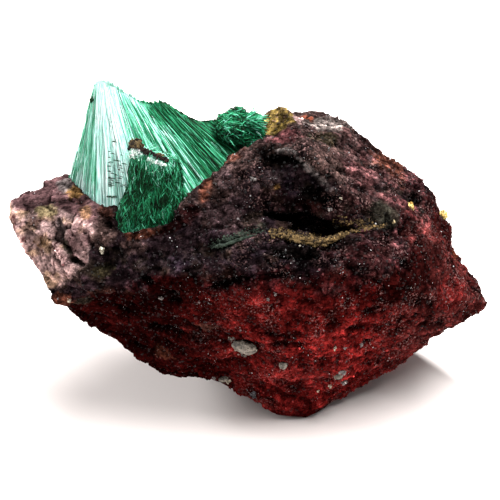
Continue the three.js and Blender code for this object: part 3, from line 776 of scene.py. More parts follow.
def needles(starts, ends, widths, bends):
    """Thin tapered prisms, each from its start to its end, bowed out at its middle. Also gives the
    number of the needle that each point belongs to."""
    count = len(starts)
    run = ends - starts
    along = unit_rows(run)
    helper = np.where(np.abs(along[:, 2:3]) < 0.9, [[0, 0, 1.0]], [[1.0, 0, 0]])
    side = unit_rows(np.cross(along, helper))
    other = np.cross(along, side)
    rows = [starts[:, None]]
    for share, width in zip(NEEDLE_RINGS, NEEDLE_RING_WIDTHS):
        bow = 4 * share * (1 - share)
        middle = starts + run * share + bends * bow
        angles = 2 * np.pi * np.arange(NEEDLE_SIDES) / NEEDLE_SIDES
        ring = [middle + 0.5 * width * widths[:, None] * (math.cos(a) * side + math.sin(a) * other)
                for a in angles]
        rows.append(np.stack(ring, 1))
    rows.append(ends[:, None])
    points = np.concatenate(rows, 1)
    size = points.shape[1]
    faces = (needle_faces()[None] + size * np.arange(count)[:, None, None]).reshape(-1, 3)
    return points.reshape(-1, 3), faces, np.repeat(np.arange(count), size)


def scattered_on(points, faces, count, random, weights=None):
    """Random places on a surface: the points, and how the surface faces there."""
    faces = as_triangles(faces)
    a, b, c = (points[faces[:, k]] for k in range(3))
    normals = np.cross(b - a, c - a)
    area = np.linalg.norm(normals, axis=1)
    chance = area if weights is None else area * weights[faces].mean(1)
    chosen = random.choice(len(faces), count, p=chance / chance.sum())
    u, v = random.random((2, count))
    u, v = np.where(u + v > 1, 1 - u, u), np.where(u + v > 1, 1 - v, v)
    at = a[chosen] + u[:, None] * (b - a)[chosen] + v[:, None] * (c - a)[chosen]
    return at, normals[chosen] / area[chosen][:, None]


# A small double pyramid: its six corners and its eight faces.
GEM_POINTS = np.array([[1, 0, 0], [0, 1, 0], [-1, 0, 0], [0, -1, 0], [0, 0, 1], [0, 0, -1]], float)
GEM_FACES = np.array([[i, (i + 1) % 4, 4] for i in range(4)] + [[(i + 1) % 4, i, 5] for i in range(4)])


def mostly_small(sizes, power, count, random):
    """Sizes between two limits, most of them near the smaller one."""
    return sizes[0] + (sizes[1] - sizes[0]) * random.random(count) ** power


def turned_at_random(count, random):
    """A random turn for each piece, as matrices."""
    w, x, y, z = unit_rows(random.normal(size=(count, 4))).T
    rows = [[1 - 2 * (y * y + z * z), 2 * (x * y - z * w), 2 * (x * z + y * w)],
            [2 * (x * y + z * w), 1 - 2 * (x * x + z * z), 2 * (y * z - x * w)],
            [2 * (x * z - y * w), 2 * (y * z + x * w), 1 - 2 * (x * x + y * y)]]
    return np.moveaxis(np.array(rows), 2, 0)


def gems(centres, sizes, random, thinnest=0.6, longest=1.4):
    """Small crystals, each turned its own way, and the number of the one that each point is in."""
    count = len(centres)
    shapes = GEM_POINTS[None] * sizes[:, None, None] * random.uniform(thinnest, longest, (count, 1, 3))
    points = np.einsum("nij,nkj->nki", turned_at_random(count, random), shapes) + centres[:, None]
    faces = (GEM_FACES[None] + len(GEM_POINTS) * np.arange(count)[:, None, None]).reshape(-1, 3)
    return points.reshape(-1, 3), faces, np.repeat(np.arange(count), len(GEM_POINTS))


# ---- Malachite ----

# Tones of malachite, from the darkest to the silky near-white, which the pale band uses as partly painted
# sheen.
MALACHITE_TONES = [
    (0.0, (0.003, 0.011, 0.0045)),
    (0.22, (0.007, 0.09, 0.03)),
    (0.45, (0.025, 0.32, 0.14)),
    (0.65, (0.17, 0.62, 0.42)),
    (0.85, (0.5, 0.87, 0.79)),
    (1.0, (0.82, 0.98, 0.95)),
]


def malachite_material(name, fine_per_mm, fine_share, roughness):
    """Silky fibres: a tone from the mesh, with finer streaks that run along each fibre."""
    nodes = Nodes(name)
    streaks = nodes.noise(fine_per_mm, 3, 0.65, at=nodes.attribute("fibre", "Vector"))
    fine = nodes.spread(streaks, 0.25, 0.75, -fine_share, fine_share)
    colour = nodes.ramp(nodes.math("ADD", nodes.attribute("tone"), fine), MALACHITE_TONES)
    return nodes.finish(Base_Color=colour, Roughness=roughness, Normal=nodes.bump(streaks, 0.1, 0.8),
                        Specular_IOR_Level=0.1)


# The line round the foot of the fan, where it goes into the rock.
FAN_FOOT = [
    (-30, 0.6, 37.6), (-27.2, -4.6, 35.4), (-22.4, -10.8, 33.2), (-17, -13.2, 34.4), (-11.8, -11.6, 37.8),
    (-8, -8.6, 40.2), (-3, -3, 43), (0.8, 3.6, 43.8), (-1.5, 7.5, 40.5), (-12, 9.5, 36),
    (-22, 7.5, 33.5), (-28.6, 4.5, 35.2),
]
# The crest that the fibres spring from, from the tip to the rear tuft.
FAN_CREST = [
    (-26.2, 1, 54.5), (-25.7, 1, 55.5), (-24.6, 1, 55.9), (-23.6, 1, 55.3), (-22.3, 1.2, 54.6),
    (-21.3, 1.3, 53.8), (-19.6, 1.5, 52.6), (-18.4, 1.7, 51.8), (-16.6, 1.9, 51.4), (-15.2, 2, 51.8),
    (-13.9, 2.1, 51.2), (-12.6, 2.3, 50.1), (-10.3, 2.4, 48.5), (-8.6, 2.6, 47.9), (-6, 3, 48),
    (-4.6, 3.4, 47.4),
]
# Which point of the crest the fibres come from, for millimetres along the foot line.
FAN_SPRINGS = [
    (0, 0), (6, 1), (15, 2), (21, 3), (24.5, 4), (27.8, 5), (30.5, 6), (33.2, 7), (36, 8), (38, 9),
    (39.5, 10), (40.6, 11), (41.8, 12), (44, 13), (47, 14), (53, 15), (60, 13), (66, 10), (72, 7),
    (78, 5), (84, 3), (91, 0),
]
FAN_FRAY = 0.03  # the fibres' broken ends stray past the crest by about this share of the way down
FAN_BURY = 1.1  # they end at this share of the way down, under the rock's skin
FAN_COLUMNS = 800
FAN_ROWS = 42
FAN_NEEDLES = 7200
FAN_NEEDLE_LENGTHS = (2.0, 10)
FAN_NEEDLE_WIDTHS = (0.07, 0.22)
FAN_NEEDLE_LIFT = (-0.12, 0.2)

# The fan's tone round its foot: millimetres along the foot line, tone, and how much it varies.
# From about 7 to 21 mm the tones are the pale band: partly paler malachite, partly painted sheen.
FAN_TONES = [
    (0, 0.69, 0.28), (3, 0.76, 0.27), (6.8, 0.66, 0.27), (7.3, 0.88, 0.14), (9, 0.96, 0.12),
    (14, 0.92, 0.16), (16, 0.97, 0.12), (20.5, 0.92, 0.16), (24.5, 0.76, 0.3), (27.8, 0.6, 0.34),
    (29.2, 0.5, 0.34), (30.5, 0.66, 0.34), (33.2, 0.46, 0.4), (35.5, 0.34, 0.36), (37.2, 0.26, 0.3),
    (38.5, 0.18, 0.26), (40.2, 0.3, 0.42), (41.5, 0.18, 0.32), (44, 0.22, 0.45), (49, 0.18, 0.4),
    (56, 0.22, 0.3), (70, 0.4, 0.3), (82, 0.5, 0.3), (91, 0.55, 0.3),
]
# Its tone at the crest: which point of the crest, and the tone there. The pale tones near the tip carry
# the pale band, partly painted sheen, up to the crest.
FAN_CREST_TONES = [(0, 0.7), (1, 0.85), (3, 0.9), (6, 0.75), (8, 0.4), (9, 0.25), (15, 0.22)]
# The pale band is partly paler malachite and partly painted sheen.
FAN_SHEEN_BAND_DRIFT = 7.5  # the pale band's left edge runs this much to the right, down to the foot
FAN_SHEEN_BAND_BACK = (0.72, 0.86)  # it comes back to the left between these shares of the way down


def between(first, second, low, high, at):
    """The first at low, the second at high, and on the line through them elsewhere."""
    return ((high - at) * first + (at - low) * second) / (high - low)


def closed_line(corners, count):
    """Points evenly along a smooth closed line through the corners, a Catmull-Rom curve, and how far
    along it each one is."""
    corners = np.array(corners, float)
    dense = []
    for i in range(len(corners)):
        near = [corners[(i + k) % len(corners)] for k in (-1, 0, 1, 2)]
        knots = np.cumsum([0] + [np.linalg.norm(near[k + 1] - near[k]) ** 0.5 for k in range(3)])
        at = np.linspace(knots[1], knots[2], 40, endpoint=False)[:, None]
        lines = [between(near[k], near[k + 1], knots[k], knots[k + 1], at) for k in range(3)]
        bends = [between(lines[k], lines[k + 1], knots[k], knots[k + 2], at) for k in range(2)]
        dense.append(between(bends[0], bends[1], knots[1], knots[2], at))
    dense = np.concatenate(dense + [dense[0][:1]])
    lengths = np.linalg.norm(np.diff(dense, axis=0), axis=1)
    reached = np.concatenate([[0], np.cumsum(lengths)])
    at = np.linspace(0, reached[-1], count, endpoint=False)
    return np.stack([np.interp(at, reached, dense[:, k]) for k in range(3)], 1), at


def fan_crest(along):
    """The point of the crest that the fibres at a place along the foot line come from."""
    spring = np.interp(along, *zip(*FAN_SPRINGS))
    numbers = np.arange(len(FAN_CREST))
    return np.stack([np.interp(spring, numbers, axis) for axis in zip(*FAN_CREST)], 1)


def fan_ridge(foot, share):
    """How far the fibres' ridges stand out of the fan, where they reach a share of the way down.
    Bundles of fibres are broken off at heights of their own, which leaves small steps."""
    down = np.stack([share * 3, share * 0, share * 0], 1)
    drift = foot + 0.25 * np.stack([noise(down + foot / 6, 1, 91 + k) for k in range(3)], 1)
    height = 0.4 * noise(drift, 2.4, 92) + 0.34 * noise(drift, 1.0, 93) + 0.22 * noise(drift, 0.45, 94)
    for wave, step, seed in ((1.6, 0.26, 95), (0.7, 0.2, 96), (0.35, 0.14, 97)):
        _, owner, _, _ = cells_at(drift, wave, seed)
        broken = 0.1 + random_of(owner, seed + 5)
        height += step * (smoothstep(share - broken, -0.012, 0.0) - 0.5)
    return height * np.minimum(1, 0.35 + share) * smoothstep(share, -0.01, 0.1)


def fan_tone(foot, along, share, random_part):
    """The tone of a fibre: bands round the fan, one of them the pale band of partly painted sheen, streaks
    from bundle to bundle, and its own chance.
    """
    at, tone, vary = (np.array(column) for column in zip(*FAN_TONES))
    back = smoothstep(share, *FAN_SHEEN_BAND_BACK)
    drifted = along - FAN_SHEEN_BAND_DRIFT * (1 - back) * share ** 2 * (1 - smoothstep(along, 12, 20))
    drifted = drifted + 5 * back * (1 - smoothstep(along, 6, 9))
    band = np.interp(drifted, at, tone)
    spread = np.interp(drifted, at, vary)
    right = smoothstep(along, 30, 33) * (1 - smoothstep(along, 36, 39))
    band = band - 0.1 * right * smoothstep(share, 0.35, 0.8)
    spring = np.interp(along, *zip(*FAN_SPRINGS))
    crest = 1 - smoothstep(share, 0.0, 0.14)
    band = band + (np.interp(spring, *zip(*FAN_CREST_TONES)) - band) * crest
    length = np.stack([share * 2.2] * 3, 1)
    streak = 0.4 * noise(foot + length, 1.5, 101) + 0.55 * noise(foot + length * 2, 0.55, 102)
    streak += 0.6 * noise(foot + length * 3, 0.26, 103)
    return band + spread * (0.9 * streak + random_part)


def fan_body(foot, along, crest, out, tips):
    """The fan as one ridged surface, from the crest down to the foot and closed underneath."""
    rows = []
    for row in range(FAN_ROWS + 1):
        share = tips + (FAN_BURY - tips) * (row / FAN_ROWS) ** 1.1
        at = crest + (foot - crest) * share[:, None]
        rows.append((at + out * fan_ridge(foot, share)[:, None], share))
    points = np.concatenate([at for at, _ in rows] + [rows[-1][0].mean(0)[None]])
    share = np.concatenate([row_share for _, row_share in rows] + [[FAN_BURY]])
    i = np.arange(FAN_COLUMNS)
    j = (i + 1) % FAN_COLUMNS
    sides = [np.stack([i, i + FAN_COLUMNS, j + FAN_COLUMNS, j], 1) + row * FAN_COLUMNS
             for row in range(FAN_ROWS)]
    last = FAN_ROWS * FAN_COLUMNS
    bottom = np.stack([np.full(FAN_COLUMNS, len(points) - 1), last + j, last + i], 1)
    faces = np.concatenate([as_triangles(np.concatenate(sides)), bottom])
    column = np.concatenate([np.tile(i, FAN_ROWS + 1), [0]])
    fibre = np.stack([along[column], share * 1.4, np.zeros(len(points))], 1)
    return points, faces, {"tone": fan_tone(foot[column], along[column], share, 0), "fibre": fibre}


def fan_splinters(foot, along, crest, out, tips, random):
    """Needles that lie along the fan's fibres and stand a little out of them."""
    begin = tips + (1.0 - tips) * random.random(FAN_NEEDLES) ** 0.9 - 0.02
    ray = foot - crest
    length = random.uniform(*FAN_NEEDLE_LENGTHS, FAN_NEEDLES) / np.linalg.norm(ray, axis=1)
    end = np.minimum(begin + length, FAN_BURY)
    lift = random.uniform(*FAN_NEEDLE_LIFT, FAN_NEEDLES)

    def place(share, extra):
        height = fan_ridge(foot, share) + (lift + extra) * smoothstep(share, -0.02, 0.1)
        return crest + ray * share[:, None] + out * height[:, None]

    starts = place(begin, random.uniform(-0.1, 0.2, FAN_NEEDLES))
    ends = place(end, random.uniform(-0.15, 0.05, FAN_NEEDLES))
    widths = random.uniform(*FAN_NEEDLE_WIDTHS, FAN_NEEDLES)
    bends = out * random.uniform(0, 0.15, FAN_NEEDLES)[:, None]
    points, faces, owner = needles(starts, ends, widths, bends)
    chance = random.normal(0, 0.5, FAN_NEEDLES)
    tone = fan_tone(foot, along, 0.5 * (begin + end), chance)[owner]
    down = np.tile(np.linspace(0, 1, len(points) // FAN_NEEDLES), FAN_NEEDLES)
    fibre = np.stack([along[owner] + 0.3 * chance[owner], down, np.zeros(len(owner))], 1)
    return points, faces, {"tone": tone, "fibre": fibre}


def build_fan(random):
    """The main fan. Gives its body's points and faces."""
    foot, along = closed_line(FAN_FOOT, FAN_COLUMNS)
    crest = fan_crest(along)
    out = unit_rows(foot - foot.mean(0))
    tips = 0.5 * noise(foot, 1.3, 105) + 0.9 * noise(foot, 0.5, 106) + noise(foot, 0.25, 107) - 0.6
    tips = FAN_FRAY * np.minimum(tips, -0.1)
    body = fan_body(foot, along, crest, out, tips)
    pick = random.integers(0, FAN_COLUMNS, FAN_NEEDLES)
    splinters = fan_splinters(foot[pick], along[pick], crest[pick], out[pick], tips[pick], random)
    points, faces, attributes = joined([body, splinters])
    material = malachite_material("malachite_fan", fine_per_mm=5, fine_share=0.2, roughness=0.38)
    add_piece("fan", points, faces, material, "malachite", ["malachite_fan"], attributes)
    return body[:2]


def felted(points, faces, random, count, grain, lengths, widths, stray, lift):
    """Short fibres that lie over a surface along the grain, with their ends standing out of it. Also
    gives the number of the fibre that each point belongs to, and where each fibre is."""
    at, normal = scattered_on(points, faces, count, random)
    along = unit(grain) + stray * random.normal(size=(count, 3))
    along -= normal * np.sum(along * normal, axis=1, keepdims=True)
    along = unit_rows(along)
    half = 0.5 * random.uniform(*lengths, count)[:, None]
    rise = random.uniform(0, lift, (2, count, 1))
    starts = at - along * half + normal * rise[0]
    ends = at + along * half + normal * rise[1]
    bends = 0.12 * half * random.normal(size=(count, 3)) + normal * 0.1
    made, made_faces, owner = needles(starts, ends, random.uniform(*widths, count), bends)
    return made, made_faces, owner, at


def fibre_of(points, turn=0.0):
    """Fibre coordinates for upright felt: fine across, slow along."""
    return np.stack([points[:, 0] + turn * points[:, 2], 0.15 * points[:, 2], points[:, 1]], 1)


BUNDLE_VOXEL = 0.3
BUNDLE_GRAIN = (-0.1, -0.3, -1)
BUNDLE_NARROWED = 1.3  # its left side is drawn in this much toward the top
BUNDLE_FELT = {"count": 7000, "grain": BUNDLE_GRAIN, "lengths": (0.8, 2.8), "widths": (0.06, 0.17),
               "stray": 0.4, "lift": 0.4}


def bundle_tone(points):
    """The bundle's tone: pale at its top, dark at its lower right."""
    x, z = points[:, 0], points[:, 2]
    pale_top = smoothstep(z + 0.2 * x + 0.8 * noise(points, 1.5, 114), 39.5, 44.5)
    low_left = smoothstep(-x - 0.3 * (z - 36), 18.6, 20.6)
    low_edge = smoothstep(41 - z, -2, 4) * smoothstep(x, -19, -15)
    return 0.17 + 0.42 * pale_top ** 1.5 + 0.1 * low_left - 0.04 * low_edge + 0.2 * noise(points, 2.2, 111)


def build_bundle(random):
    """The dark bundle in front of the fan. Gives its points and faces."""
    points, faces = remeshed(*node_arrays("malachite_front_bundle"), BUNDLE_VOXEL)
    upper_left = smoothstep(points[:, 2], 37, 43) * (1 - smoothstep(points[:, 0], -20, -16))
    points[:, 0] += BUNDLE_NARROWED * upper_left
    drawn = stretched(points, BUNDLE_GRAIN, 4)
    height = 0.35 * noise(drawn, 1.3, 112) + 0.25 * noise(drawn, 0.6, 113) - 0.1
    points = points + normals_of(points, faces) * height[:, None]
    # Painted light and shade: the body's tone rises where its relief stands out and falls in its grooves.
    tone = bundle_tone(points) - 0.06 + 0.15 * height
    body = points, faces, {"tone": tone, "fibre": fibre_of(points)}
    made, made_faces, owner, at = felted(points, faces, random, **BUNDLE_FELT)
    tone = bundle_tone(at)
    tone = tone + random.normal(0.0, 0.2, len(at))
    felt = made, made_faces, {"tone": tone[owner], "fibre": fibre_of(made)}
    points, faces, attributes = joined([body, felt])
    material = malachite_material("malachite_bundle", fine_per_mm=4, fine_share=0.1, roughness=0.6)
    nodes = ["malachite_front_bundle"]
    add_piece("front_bundle", points, faces, material, "dark_malachite", nodes, attributes)
    return points, faces


# Sprays of pale needles in the rear tuft: where each one springs from, towards where, how wide it
# opens, how many needles it has and their tone.
TUFT_SPRAYS = [
    ((-4.6, -0.6, 47.2), (1, -0.1, 0.35), 0.35, 60, 0.42),
    ((-4.6, -1.0, 48.6), (1, 0.05, -0.35), 0.3, 50, 0.5),
    ((-1.0, -0.4, 49.6), (0.9, 0.1, 0.1), 0.45, 60, 0.4),
    ((-1.2, 0.0, 48.4), (1, 0.1, 0.05), 0.3, 70, 0.5),
    ((-2.0, -0.8, 45.7), (1, -0.1, -0.05), 0.3, 60, 0.5),
]
TUFT_SPRAY_LENGTH = (1.6, 3.6)
TUFT_SPRAY_WIDTHS = (0.1, 0.26)
TUFT_SPRAY_SAG = np.array([0, 0, 0.35])
TUFT_FELT = {"count": 2600, "grain": (1, 0.2, -0.5), "lengths": (0.8, 2.4), "widths": (0.08, 0.24),
             "stray": 0.5, "lift": 0.3}
TUFT_VOXEL = 0.25
TUFT_SHRUNK = np.array([0.86, 0.95, 0.84])  # the felt grows out of a body this much smaller
TUFT_TURN = 0.7


def build_tuft(random):
    """The tuft behind the fan, with sprays of longer needles."""
    points, faces = remeshed(*node_arrays("malachite_rear_tuft"), TUFT_VOXEL)
    middle = (points.max(0) + points.min(0)) / 2
    points = middle + TUFT_SHRUNK * (points - middle)
    height = 0.35 * chips(points, 1.6, 121) + 0.25 * noise(points, 0.8, 122)
    points = points + normals_of(points, faces) * height[:, None]
    parts = []

    def add(made, made_faces, tone):
        parts.append((made, made_faces, {"tone": tone, "fibre": fibre_of(made, TUFT_TURN)}))

    # Painted light and shade: the body's tone rises where its relief stands out and falls in its hollows.
    add(points, faces, 0.2 + 0.12 * noise(points, 1.2, 123) + 0.25 * height)
    made, made_faces, owner, at = felted(points, faces, random, **TUFT_FELT)
    tone = 0.2 + 0.15 * noise(at, 1.5, 124) + 0.2 * random.normal(size=len(at))
    add(made, made_faces, tone[owner])
    for root, towards, opening, count, pale in TUFT_SPRAYS:
        way = unit_rows(unit(towards) + opening * random.normal(size=(count, 3)))
        starts = np.array(root) + 0.35 * random.normal(size=(count, 3))
        ends = starts + way * random.uniform(*TUFT_SPRAY_LENGTH, count)[:, None]
        bends = TUFT_SPRAY_SAG * random.uniform(0.2, 1, (count, 1))
        widths = random.uniform(*TUFT_SPRAY_WIDTHS, count)
        made, made_faces, owner = needles(starts, ends, widths, bends)
        add(made, made_faces, (pale + 0.2 * random.normal(size=count))[owner])
    points, faces, attributes = joined(parts)
    material = malachite_material("malachite_tuft", fine_per_mm=4, fine_share=0.12, roughness=0.35)
    add_piece("rear_tuft", points, faces, material, "malachite", ["malachite_rear_tuft"], attributes)


# ---- Crusts and grains ----


def crumbly_material(name, roughness, bump_mm):
    """Small lumps with their colour in the mesh, and a finer grain."""
    nodes = Nodes(name)
    grain = nodes.noise(3.2, 4, 0.7)
    colour = nodes.scaled(nodes.attribute("colour", "Color"), nodes.spread(grain, 0.3, 0.72, 0.45, 1.6))
    return nodes.finish(Base_Color=colour, Roughness=roughness, Normal=nodes.bump(grain, bump_mm),
                        Specular_IOR_Level=0.25)


def crust_body(node, voxel, shrink, swell, colour_of):
    """A CAD crust as a knobbly surface, drawn in a little to make room for its crumbs, coloured with
    painted light on its knobs and painted shade in its pits.
    """
    points, faces = remeshed(*node_arrays(node), voxel)
    height = 0.6 * chips(points, 0.9, 131) + 0.7 * noise(points, 1.3, 132) + 0.3
    points = points + normals_of(points, faces) * (swell * height - shrink)[:, None]
    return points, faces, {"colour": colour_of(points, height)}


def coloured_gems(places, size, colour_of, random):
    """Crumbs at the places, each with a colour of its own."""
    made, gem_faces, owner = gems(places, size, random)
    count = len(places)
    vary = np.exp(random.normal(0, 0.35, (count, 1)))
    colours = np.clip(colour_of(places, random.uniform(-0.6, 0.8, count)) * vary, 0.001, 0.95)
    return made, gem_faces, {"colour": colours[owner]}


def crumbs_over(body, count, sizes, colour_of, random):
    """Small crumbs scattered over a surface, part sunk in it."""
    at, normal = scattered_on(body[0], body[1], count, random)
    size = random.uniform(*sizes, count)
    return coloured_gems(at - normal * (0.3 * size)[:, None], size, colour_of, random)


def sprinkled(tree, line, spread, count, sizes, colour_of, random, lift=0.0):
    """Crumbs on a surface where a line runs in the picture, denser near the line."""
    line = np.array(line, float)
    reached = np.concatenate([[0], np.cumsum(np.linalg.norm(np.diff(line, axis=0), axis=1))])
    chosen = random.uniform(0, reached[-1], count)
    pixels = np.stack([np.interp(chosen, reached, line[:, k]) for k in range(2)], 1)
    pixels += random.normal(0, 1, (count, 2)) * spread
    at = np.array([under_pixel(tree, pixel) for pixel in pixels]) + lift * VIEW_BACK
    return coloured_gems(at, random.uniform(*sizes, count), colour_of, random)


def crumbly_piece(name, parts, slot, replaces, roughness):
    points, faces, attributes = joined(parts)
    material = crumbly_material(name, roughness, bump_mm=0.1)
    add_piece(name, points, faces, material, slot, replaces, attributes, smooth=False)


def two_tone_with_painted_knob_light(light, dark, wave, seed):
    """A colour function: light on the knobs, dark in the pits, patchy in between. On a crust's body the
    height is its relief, so this is painted light on the knobs and painted shade in the pits; on crumbs
    the height is a random number.
    """
    def colour_of(points, height):
        share = smoothstep(height + 0.6 * noise(points, wave, seed), -0.5, 0.6)[:, None]
        return np.array(dark) + share * (np.array(light) - np.array(dark))
    return colour_of


# Each pair is the colour on the knobs and the colour in the pits; on a crust's body the difference between
# them is painted light and shade.
LIMONITE = two_tone_with_painted_knob_light((0.17, 0.108, 0.042), (0.012, 0.007, 0.004), 0.9, 141)
VEIN = two_tone_with_painted_knob_light((0.03, 0.046, 0.031), (0.006, 0.01, 0.007), 1.1, 142)
BROWN = two_tone_with_painted_knob_light((0.11, 0.075, 0.03), (0.008, 0.005, 0.004), 0.7, 143)
QUARTZ = two_tone_with_painted_knob_light((0.21, 0.185, 0.15), (0.06, 0.055, 0.048), 0.9, 144)
OCHRE = two_tone_with_painted_knob_light((0.85, 0.66, 0.25), (0.3, 0.17, 0.03), 0.7, 145)
# Painted shade: near-black, for the crack under the brown crust.
PAINTED_CRACK_SHADE = two_tone_with_painted_knob_light((0.02, 0.008, 0.006), (0.002, 0.0015, 0.0015), 1.0, 147)
PALE = two_tone_with_painted_knob_light((0.8, 0.9, 0.85), (0.25, 0.45, 0.36), 0.6, 148)

# Crumbs beside a crust: the line that they follow in the picture, their spread in pixels and how many.
LIMONITE_RUNS = [
    ([(270, 233), (290, 235), (308, 239), (320, 237)], (2, 2.6), 620),
    ([(316, 242), (334, 236), (350, 231)], (2, 1.2), 200),
    ([(350, 231), (368, 228), (386, 226)], (2, 1.2), 90),
    ([(335, 222), (348, 222), (372, 224)], (3, 2.4), 130),
]
VEIN_RUNS = [
    ([(211, 247), (226, 240), (246, 232)], (1.5, 1.0), 260),
    ([(212, 246), (232, 237)], (3, 2.2), 90),
    ([(246, 232), (268, 231)], (2.5, 1.5), 70),
]
QUARTZ_RUNS = [
    ([(230, 337), (234, 343), (238, 349)], (1.4, 1.2), 60),
    ([(240, 350), (248, 353)], (2, 2), 30),
]

DULL = 0.85
GLOSSY = 0.5
# Crusts and grains: the piece, the node that it replaces, its slot, its colours and its roughness;
# the body's voxel, how far it is drawn in and how much it swells; how many crumbs are on it and
# their sizes; and the runs of crumbs beside it, with their sizes.
CRUSTS = [
    ("limonite_crust", "slit_limonite_crust", "limonite", LIMONITE, DULL,
     (0.2, 0.5, 0.45), (800, (0.08, 0.26)), LIMONITE_RUNS, (0.07, 0.28)),
    ("malachite_vein", "slit_malachite_vein", "dark_malachite", VEIN, DULL,
     (0.2, 0.22, 0.2), (200, (0.08, 0.2)), VEIN_RUNS, (0.06, 0.2)),
    ("quartz", "quartz_inclusion", "grey_grain", QUARTZ, GLOSSY,
     (0.14, 0.12, 0.12), (120, (0.08, 0.24)), QUARTZ_RUNS, (0.1, 0.3)),
] + [
    (f"grain_{side}", f"grey_grain_{side}", "grey_grain", QUARTZ, GLOSSY,
     (0.12, 0.1, 0.1), (40, (0.06, 0.2)), [], None) for side in ("left", "middle", "right")
] + [
    (f"ochre_{side}", f"ochre_grain_{side}", "ochre_grain", OCHRE, DULL,
     (0.12, 0.1, 0.2), (90, (0.08, 0.26)), [], None) for side in ("front", "edge")
]

BROWN_NODE = "malachite_front_crust"
BROWN_SHAPE = (0.18, 0.6, 0.28)  # its body's voxel, how far it is drawn in and how much it swells
BROWN_SHIFT = (-0.5, 0, 0.1)
BROWN_CRUMBS = (260, (0.1, 0.3))
BROWN_RUN_SIZES = (0.12, 0.3)
# The crumbs round the brown crust: the line in the picture, the spread, how many, their colours, and
# how far they stand off the malachite.
BROWN_RUNS = [
    # The first two runs are near-black crumbs, painted shade in the crack under the crust.
    ([(129, 148), (132, 146), (140, 147), (143, 150), (150, 153)], (0.7, 0.8), 260, PAINTED_CRACK_SHADE, 0.25),
    ([(150, 153), (156, 155), (162, 158), (168, 160)], (0.7, 0.7), 200, PAINTED_CRACK_SHADE, 0.25),
    ([(157, 155), (163, 156)], (1.0, 0.9), 50, BROWN, 0.25),
    ([(142, 149), (151, 153)], (1.0, 0.5), 40, BROWN, 0.25),
    ([(130, 157), (135, 151), (140, 154)], (1.8, 2.0), 130, PALE, 0.1),
    ([(148, 159), (155, 161), (165, 165)], (1.4, 0.8), 100, PALE, 0.1),
]

# Grains on the rock: where each is in the picture, its half size in millimetres, and its colour.
GRAINS = [
    ((161, 298), 0.35, "pale grey"), ((102, 250), 0.5, "cream"), ((69, 300), 0.3, "cream"),
    ((214, 378), 0.3, "pale grey"), ((228, 381), 0.5, "cream"), ((254, 394), 0.5, "blue grey"),
    ((342, 373), 0.45, "pale grey"), ((344, 381), 0.5, "pale grey"), ((330, 386), 0.3, "cream"),
    ((318, 391), 0.25, "cream"), ((252, 178), 0.45, "pale grey"), ((330, 210), 0.3, "pale grey"),
    ((341, 198), 0.22, "cream"), ((361, 345), 0.3, "pale grey"), ((335, 348), 0.3, "cream"),
    ((345, 348), 0.25, "pale grey"), ((275, 294), 0.25, "pale grey"), ((300, 246), 0.2, "cream"),
    ((268, 300), 0.22, "pale grey"), ((394, 222), 0.3, "yellow grey"), ((336, 228), 0.3, "cream"),
]
GRAIN_CRUMBS = 14


def build_grains(tree, random):
    """Pale grains on the rock, each a knot of crystals."""
    parts = []
    for pixel, half, name in GRAINS:
        places = under_pixel(tree, pixel) + random.normal(0, 0.45 * half, (GRAIN_CRUMBS, 3))
        size = half * random.uniform(0.4, 0.8, GRAIN_CRUMBS)
        light = np.array(ROCK_COLOURS[name])
        parts.append(coloured_gems(places, size, two_tone_with_painted_knob_light(light, 0.4 * light, 0.5, 146), random))
    crumbly_piece("pale_grains", parts, "grey_grain", [], GLOSSY)


def build_crusts(tree, random):
    """The crusts and grains, each as crumbs over a body."""
    for name, node, slot, colour_of, roughness, shape, crumbs, runs, run_sizes in CRUSTS:
        body = crust_body(node, *shape, colour_of)
        parts = [body, crumbs_over(body, *crumbs, colour_of, random)]
        parts += [sprinkled(tree, *run, run_sizes, colour_of, random) for run in runs]
        crumbly_piece(name, parts, slot, [node], roughness)


def build_brown_crust(tree, random):
    """The brown crust on the bundle, with near-black crumbs as painted shade in the crack under it, and
    the pale crumbs beside it.
    """
    body = crust_body(BROWN_NODE, *BROWN_SHAPE, BROWN)
    body[0][:] += BROWN_SHIFT
    parts = [body, crumbs_over(body, *BROWN_CRUMBS, BROWN, random)]
    parts += [sprinkled(tree, line, spread, count, BROWN_RUN_SIZES, colour_of, random, lift)
              for line, spread, count, colour_of, lift in BROWN_RUNS]
    crumbly_piece("brown_crust", parts, "brown_crust", [BROWN_NODE], DULL)


# Dark nicks across the pale band: where each is in the picture, its half length in pixels and its
# width in millimetres; and the area that the small ones are scattered over.
# The nicks are dark strips across the fibres, painted shade in small cross-fractures.
NICKS = [
    ((114.5, 142), 2.6, 0.3), ((112, 197), 6, 0.42), ((111, 178.5), 5, 0.2), ((120, 178.5), 3, 0.2),
    ((118, 183), 3, 0.22), ((113, 154), 3, 0.2), ((118, 161), 3, 0.2),
]
NICK_AREA = ((109, 151), (126, 187))
SMALL_NICKS = 28
SMALL_NICK_HALVES = (1.2, 2.4)
SMALL_NICK_WIDTHS = (0.14, 0.24)
NICK_LEAN = 0.3  # a nick's right end is this many pixels below its middle, and its left end above
NICK_LIFT = 0.4
FLAKE = (-26.4, 0.3, 53.0)  # a dark flake at the left of the tip
FLAKE_SIZE = 0.5


